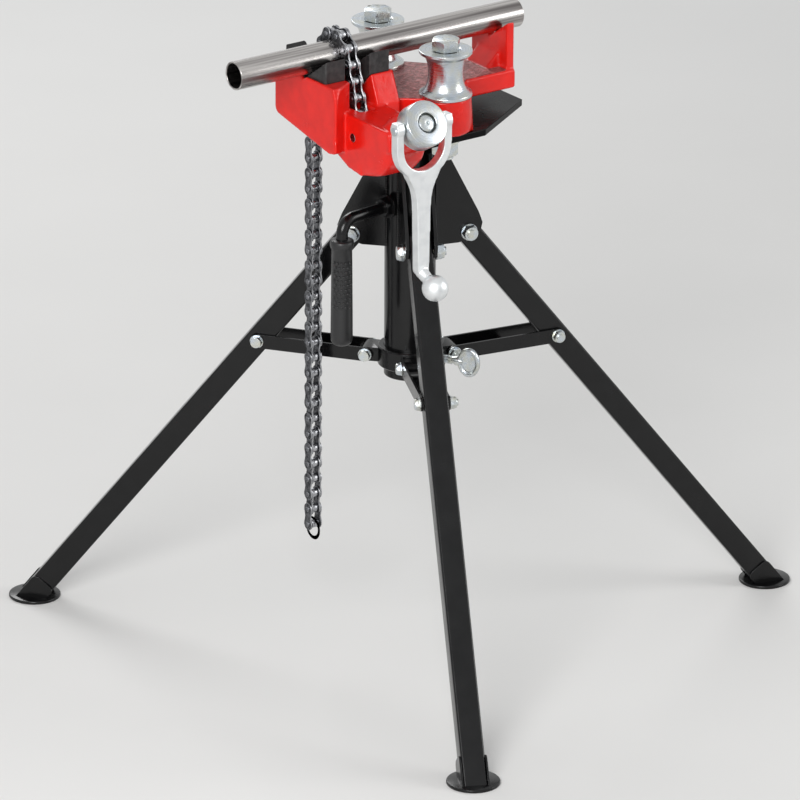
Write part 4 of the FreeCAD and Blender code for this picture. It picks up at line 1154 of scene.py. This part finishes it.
@dataclass(frozen=True)
class ChainRoute:
    """Path of the pins from the screw's eye, under the guide roller, over the pipe and the hook.

    The anchor's depth runs down the screw from the nut's face, heights are above the head
    plate, and a turn's size is the radius of the pins' path.
    """

    pitch: float
    half_link: float
    tail_y: float
    anchor_depth: float = 74.0
    guide_y: float = -68.0
    guide_turn: float = 18.0
    pipe_height: float = 97.0
    seat_gap: float = 0.3
    hook_height: float = 46.0
    hook_turn: float = 14.0
    steps: int = 60

    def points(self) -> list[tuple[float, float]]:
        """Fine points along the path, as Y and Z in millimetres."""
        gear, deck = TensionGear(), Stand().plate_top
        tilt = math.radians(gear.tilt)
        _, face_y, face_z = gear.nut_face
        anchor = (face_y + self.anchor_depth * math.cos(tilt), face_z - self.anchor_depth * math.sin(tilt))
        depth = (self.guide_y - self.guide_turn * math.sin(tilt) - face_y) / math.cos(tilt)
        guide_z = face_z - depth * math.sin(tilt) + self.guide_turn * math.cos(tilt)
        wrap = HeldPipe().outside + self.half_link + self.seat_gap
        turns = [Turn(self.guide_y, guide_z, self.guide_turn), Turn(0.0, deck + self.pipe_height, -wrap),
                 Turn(self.tail_y - self.hook_turn, deck + self.hook_height, -self.hook_turn)]
        headings = [-tilt] + [a.heading_to(b) for a, b in zip(turns, turns[1:])] + [-math.pi / 2]
        path = [anchor]
        for turn, start, end in zip(turns, headings, headings[1:]):
            path += [turn.touch(start + (end - start) * k / self.steps) for k in range(self.steps + 1)]
        return path + [(path[-1][0], path[-1][1] - 2 * self.pitch)]

    def pins(self) -> list[tuple[float, float]]:
        """Pin centres exactly one pitch apart, down to the first on the straight drop."""
        path = self.points()
        pins = [path[0]]
        for (ay, az), (by, bz) in zip(path, path[1:]):
            while math.dist((by, bz), pins[-1]) >= self.pitch:
                dy, dz = by - ay, bz - az
                fy, fz = ay - pins[-1][0], az - pins[-1][1]
                square, across = dy * dy + dz * dz, fy * dy + fz * dz
                rest = fy * fy + fz * fz - self.pitch ** 2
                t = (math.sqrt(across ** 2 - square * rest) - across) / square
                pins.append((ay + dy * t, az + dz * t))
        axis, down = self.tail_y - self.hook_turn, path[-2][1]
        last = next(i for i, (y, z) in enumerate(pins) if y > axis and z < down)
        return pins[:last + 1]


@dataclass
class ViseChain:
    """Roller chain over the pipe, its hanging tail and the pull ring."""

    pitch: float = 19.05
    plate_radius: float = 7.5
    waist: float = 5.3
    plate_thickness: float = 1.9
    gap: float = 8.0
    pin_radius: float = 3.2
    bush_radius: float = 5.6
    pin_head: float = 1.2
    plane: float = -105.0
    segment: int = 7
    segments: int = 4
    tail_y: float = 47.0

    def build(self) -> None:
        """Wrap, four tail pieces and the ring."""
        route = ChainRoute(self.pitch, self.plate_radius, self.tail_y).pins()
        self.run("chain_wrap", [Vector((self.plane, y, z)) for y, z in route], 0)
        top = route[-1][1]
        for part in range(self.segments):
            first = part * self.segment
            pins = [Vector((self.plane, self.tail_y, top - self.pitch * (first + i)))
                    for i in range(self.segment + 1)]
            self.run(f"chain_tail_{part + 1}", pins, len(route) - 1 + first)
        self.ring()

    def plate(self, first: Vector, second: Vector, x: float) -> bmesh.types.BMesh:
        """One figure-eight side plate from pin to pin.

        Args:
            first: Centre of the first pin.
            second: Centre of the second pin.
            x: Lower side of the plate.

        Returns:
            The plate in place.
        """
        part = bmesh.new()
        bmesh.ops.create_circle(part, cap_ends=True, radius=1.0, segments=26)
        half = self.pitch / 2
        for vert in part.verts:
            along = vert.co.x * (half + self.plate_radius)
            side = math.copysign(1.0, vert.co.y) if abs(vert.co.y) > 1e-5 else 0.0
            if abs(along) >= half:
                rise = math.sqrt(max(0.0, self.plate_radius ** 2 - (abs(along) - half) ** 2))
            else:
                swell = (1 - math.cos(math.pi * abs(along) / half)) / 2
                rise = self.waist + (self.plate_radius - self.waist) * swell
            vert.co = (0, along, side * rise)
        grown = bmesh.ops.extrude_face_region(part, geom=part.faces[:])["geom"]
        bmesh.ops.translate(part, vec=(self.plate_thickness, 0, 0), verts=only(bmesh.types.BMVert, grown))
        bmesh.ops.recalc_face_normals(part, faces=part.faces)
        rims = [e for e in part.edges if abs(e.verts[0].co.x - e.verts[1].co.x) < 1e-6]
        bmesh.ops.bevel(part, geom=rims, offset=0.42, segments=1, profile=0.5, affect="EDGES",
                        material=-1)
        run = second - first
        turn = Matrix.Rotation(math.atan2(run.z, run.y), 4, "X")
        centre = (first + second) / 2
        bmesh.ops.transform(part, matrix=Matrix.Translation((x, centre.y, centre.z)) @ turn,
                            verts=part.verts)
        return part

    def run(self, node: str, pins: list[Vector], parity: int) -> None:
        """A stretch of chain: plates, riveted pins and bushes.

        Args:
            node: CAD node that it stands for.
            pins: Pin centres along the stretch.
            parity: Number of links before it, which decides inner or outer plates.
        """
        plates = Shape()
        rivets = Shape()
        r, bush = self.pin_radius, self.bush_radius
        reach = self.gap / 2 + 2 * self.plate_thickness + 0.1 + self.pin_head
        for i, (first, second) in enumerate(zip(pins, pins[1:])):
            outer = (parity + i) % 2 == 1
            x = self.gap / 2 + (self.plate_thickness + 0.1 if outer else 0.0)
            for low in (self.plane + x, self.plane - x - self.plate_thickness):
                plates.join(self.plate(first, second, low))
        hinged = node != "chain_wrap"
        for pin in pins[1 if hinged else 0:]:
            rivets.spun([(0, 0), (r - 0.7, 0), (r - 0.1, 0.5), (r, reach * 2 - 0.5), (r - 0.7, reach * 2),
                         (0, reach * 2)], aim(pin - Vector((reach, 0, 0)), (1, 0, 0)), 14)
            rivets.spun([(r + 0.1, 0.2), (bush - 0.4, 0.2), (bush, 0.8), (bush, self.gap - 0.8),
                         (bush - 0.4, self.gap - 0.2), (r + 0.1, self.gap - 0.2)],
                        aim(pin - Vector((self.gap / 2, 0, 0)), (1, 0, 0)), 16)
        plates.become(node + "_plates", CHAIN_DARK, body_of(node), node)
        rivets.become(node + "_pins", CHAIN_PIN, body_of(node), crease=40.0)

    def ring(self) -> None:
        """Round wire ring through the last pin."""
        low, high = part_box("pull_ring")
        centre = (low + high) / 2 / MM
        wire = (high.x - low.x) / 2 / MM
        radius = (high.z - low.z) / 2 / MM - wire
        part = bmesh.new()
        upright = Matrix.Translation((0, radius, 0)) @ Matrix.Rotation(math.pi / 2, 4, "Y")
        bmesh.ops.create_circle(part, radius=wire, segments=14, matrix=upright)
        bmesh.ops.spin(part, geom=part.verts[:] + part.edges[:], cent=(0, 0, 0), axis=(1, 0, 0),
                       angle=math.tau, steps=48, use_merge=True)
        bmesh.ops.recalc_face_normals(part, faces=part.faces)
        Shape().join(part, Matrix.Translation(centre)).become("pull_ring_wire", ZINC,
                                                              body_of("pull_ring"), "pull_ring")


@dataclass
class ThumbScrew:
    """Clamp screw of the collar with a flat oval wing that is dished on both sides."""

    heading: float = 300.0
    height: float = 350.0
    start: float = 30.5
    tip: float = 90.0
    shank: float = 5.0
    wing_wide: float = 28.0
    wing_high: float = 36.0

    def build(self) -> None:
        """Threaded shank, flared neck and wing."""
        out = Vector((math.cos(math.radians(self.heading)), math.sin(math.radians(self.heading)), 0))
        foot = out * self.start + Vector((0, 0, self.height))
        length = self.tip - self.start - self.wing_wide + 4
        s = self.shank
        stem = [(0, 0), (s - 0.9, 0), (s - 0.5, 0.8), (s - 0.5, length - 9), (s + 0.6, length - 6),
                (s + 0.8, length - 3), (s - 1.4, length + 2), (0, length + 2)]
        shape = Shape().spun(stem, aim(foot, out), 40)
        shape.thread(2 * s + 0.3, 1.5, length - 12, aim(foot + out * 2, out))
        r = self.wing_high / 2
        rim = [(0, 1.0), (r - 8, 1.1), (r - 5.6, 1.6), (r - 4.2, 2.9), (r - 2.2, 3.1), (r - 0.6, 2.2), (r, 0)]
        under = [(radius, -rise) for radius, rise in reversed(rim[:-1])]
        hub = foot + out * (self.tip - self.start - self.wing_wide / 2)
        squash = Matrix.Diagonal((self.wing_wide / self.wing_high, 1.0, 1.0, 1.0))
        flat = Matrix((out, Vector((0, 0, 1)), out.cross(Vector((0, 0, 1))))).transposed().to_4x4()
        shape.spun(rim + under, Matrix.Translation(hub) @ flat @ squash, 56)
        shape.become("thumb_screw_plated", ZINC, body_of("thumb_screw"), "thumb_screw", crease=50.0)


@dataclass
class HeldPipe:
    """Length of stainless tube in the jaws."""

    outside: float = 16.7
    inside: float = 14.7

    def build(self) -> None:
        """Tube with square-cut, lightly deburred ends."""
        low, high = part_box("pipe")
        start = Vector((low.x, (low.y + high.y) / 2, (low.z + high.z) / 2)) / MM
        length = (high.x - low.x) / MM
        r, bore = self.outside, self.inside
        profile = [(r, 0.4), (r, length - 0.4), (r - 0.4, length), (bore + 0.4, length),
                   (bore, length - 0.4), (bore, 0.4), (bore + 0.4, 0), (r - 0.4, 0)]
        tube = Shape().spun(profile, aim(start, (1, 0, 0)), 96)
        tube.become("pipe_polished", PIPE, body_of("pipe"), "pipe")


# --- studio -----------------------------------------------------------------------------
@dataclass
class Studio:
    """Pale floor, soft lamps and the camera."""

    eye: Point = (-5165.2, -7086.4, 3692.5)
    heading: float = -36.017
    pitch: float = 21.203
    roll: float = 0.337
    lens: float = 360.0
    floor_half: float = 30.0

    def build(self) -> None:
        """Floor, world, lamps and camera."""
        self.floor()
        self.world()
        self.lamp("key_softbox", place=(-2.6, -2.3, 2.1), target=(0.0, 0.0, 0.45), size=2.0,
                  power=105.0)
        self.lamp("fill_softbox", place=(2.6, -2.2, 1.5), target=(0.0, 0.0, 0.4), size=1.8,
                  power=34.0)
        self.lamp("rim_softbox", place=(0.6, 2.9, 2.4), target=(0.0, 0.0, 0.5), size=1.8,
                  power=40.0)
        self.camera()

    def floor(self) -> None:
        """Flat floor that keeps the object's shadow."""
        part = bmesh.new()
        bmesh.ops.create_grid(part, x_segments=1, y_segments=1, size=self.floor_half)
        data = bpy.data.meshes.new("floor")
        part.to_mesh(data)
        part.free()
        data.materials.append(material_of(FLOOR))
        piece = placed("floor", data)
        self.follow(piece)

    def follow(self, floor: bpy.types.Object) -> None:
        """Keeps the floor level with the outer edge of the front foot.

        Folding takes the feet below the level that they stand on, and a floor that stays
        put would hide them. At rest this changes nothing.

        Args:
            floor: The studio floor.
        """
        stand = Stand()
        edge = Vector((stand.reach() + stand.foot_radius, 0, 0)) * MM
        mark = placed("floor_mark", None)
        mark.location = Matrix.Rotation(Leg.FRONT.heading, 4, "Z") @ edge
        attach(mark, body_of("foot_" + Leg.FRONT.label))
        hold = floor.constraints.new("COPY_LOCATION")
        hold.target = mark
        hold.use_x = hold.use_y = False

    def world(self) -> None:
        """Even pale surroundings: what the eye and reflections see is paler than the light cast."""
        world = bpy.data.worlds.new("studio")
        bpy.context.scene.world = world
        world.use_nodes = True
        tree = world.node_tree
        tree.nodes.clear()
        path = add(tree, "ShaderNodeLightPath").outputs
        seen = combine(tree, path["Is Camera Ray"], path["Is Glossy Ray"], "MAXIMUM")
        glow = add(tree, "ShaderNodeBackground", {"Color": linear("#e6e8ea"), "Strength": 0.45})
        pale = add(tree, "ShaderNodeBackground", {"Color": linear(BACKDROP), "Strength": 1.0})
        mix = add(tree, "ShaderNodeMixShader", None,
                  {0: seen, 1: glow.outputs[0], 2: pale.outputs[0]})
        add(tree, "ShaderNodeOutputWorld", None, {"Surface": mix.outputs[0]})

    def lamp(self, name: str, place: Point, target: Point, size: float, power: float) -> None:
        """One soft area lamp aimed at a target, in metres and watts."""
        data = bpy.data.lights.new(name, "AREA")
        data.shape = "DISK"
        data.size = size
        data.energy = power
        lamp = placed(name, data)
        lamp.location = place
        lamp.rotation_euler = (Vector(target) - Vector(place)).to_track_quat("-Z", "Y").to_euler()

    def camera(self) -> None:
        """Long lens, far back and looking down on the head, rolled by a third of a degree."""
        turn, drop, roll = (math.radians(a) for a in (self.heading, self.pitch, self.roll))
        ahead = Vector((-math.sin(turn) * math.cos(drop), math.cos(turn) * math.cos(drop),
                        -math.sin(drop)))
        right = ahead.cross(Vector((0, 0, 1))).normalized()
        up = right.cross(ahead)
        side = right * math.cos(roll) + up * math.sin(roll)
        top = up * math.cos(roll) - right * math.sin(roll)
        rows = Matrix((side, top, -ahead)).transposed().to_4x4()
        data = bpy.data.cameras.new("camera")
        data.lens = self.lens
        data.sensor_width = 36.0
        data.clip_end = 100.0
        eye = placed("camera", data)
        eye.matrix_world = Matrix.Translation(Vector(self.eye) * MM) @ rows
        bpy.context.scene.camera = eye
        bpy.context.scene.view_settings.view_transform = "Standard"


def dress_bare_nodes(finishes: dict[str, Finish]) -> None:
    """Gives every CAD node its finish, hidden ones too, and black enamel where none is named."""
    for name, node in frame["nodes"].items():
        finish = finishes.get(name, ENAMEL)
        node.data.materials.clear()
        node.data.materials.append(material_of(finish))


def node_finishes() -> dict[str, Finish]:
    """Finish of each CAD node that isn't black enamel."""
    table: dict[str, Finish] = {"handle_grip": RUBBER, "vise_casting": CAST_RED, "jaw_left": OXIDE,
                                "jaw_right": OXIDE, "jaw_screws": OXIDE, "fork_handle": FORGED,
                                "pipe": PIPE, "chain_wrap": CHAIN_DARK, "guide_roller": CHAIN_PIN}
    plated: Iterable[str] = ("leg_pivot_bolts", "roller_bolts", "guide_pin", "thrust_washer",
                             "roller_front", "roller_rear", "tension_screw", "tension_nut",
                             "collar_bolts", "thumb_screw", "pull_ring")
    table.update({name: ZINC for name in plated})
    table.update({f"brace_bolt_{leg.label}": ZINC for leg in Leg})
    table.update({f"chain_tail_{i + 1}": CHAIN_DARK for i in range(ViseChain().segments)})
    return table


def main() -> None:
    """Builds every sub-assembly in order."""
    logging.basicConfig(level=logging.INFO, format="%(message)s")
    dress_bare_nodes(node_finishes())
    makers: list[Callable[[], None]] = [
        Studio().build, Stand().build, Fasteners().build, RodHandle().build, ViseBody().build,
        BendingRollers().build, TensionGear().build, ViseChain().build, ThumbScrew().build,
        HeldPipe().build]
    for make in makers:
        make()


if __name__ == "__main__":
    main()
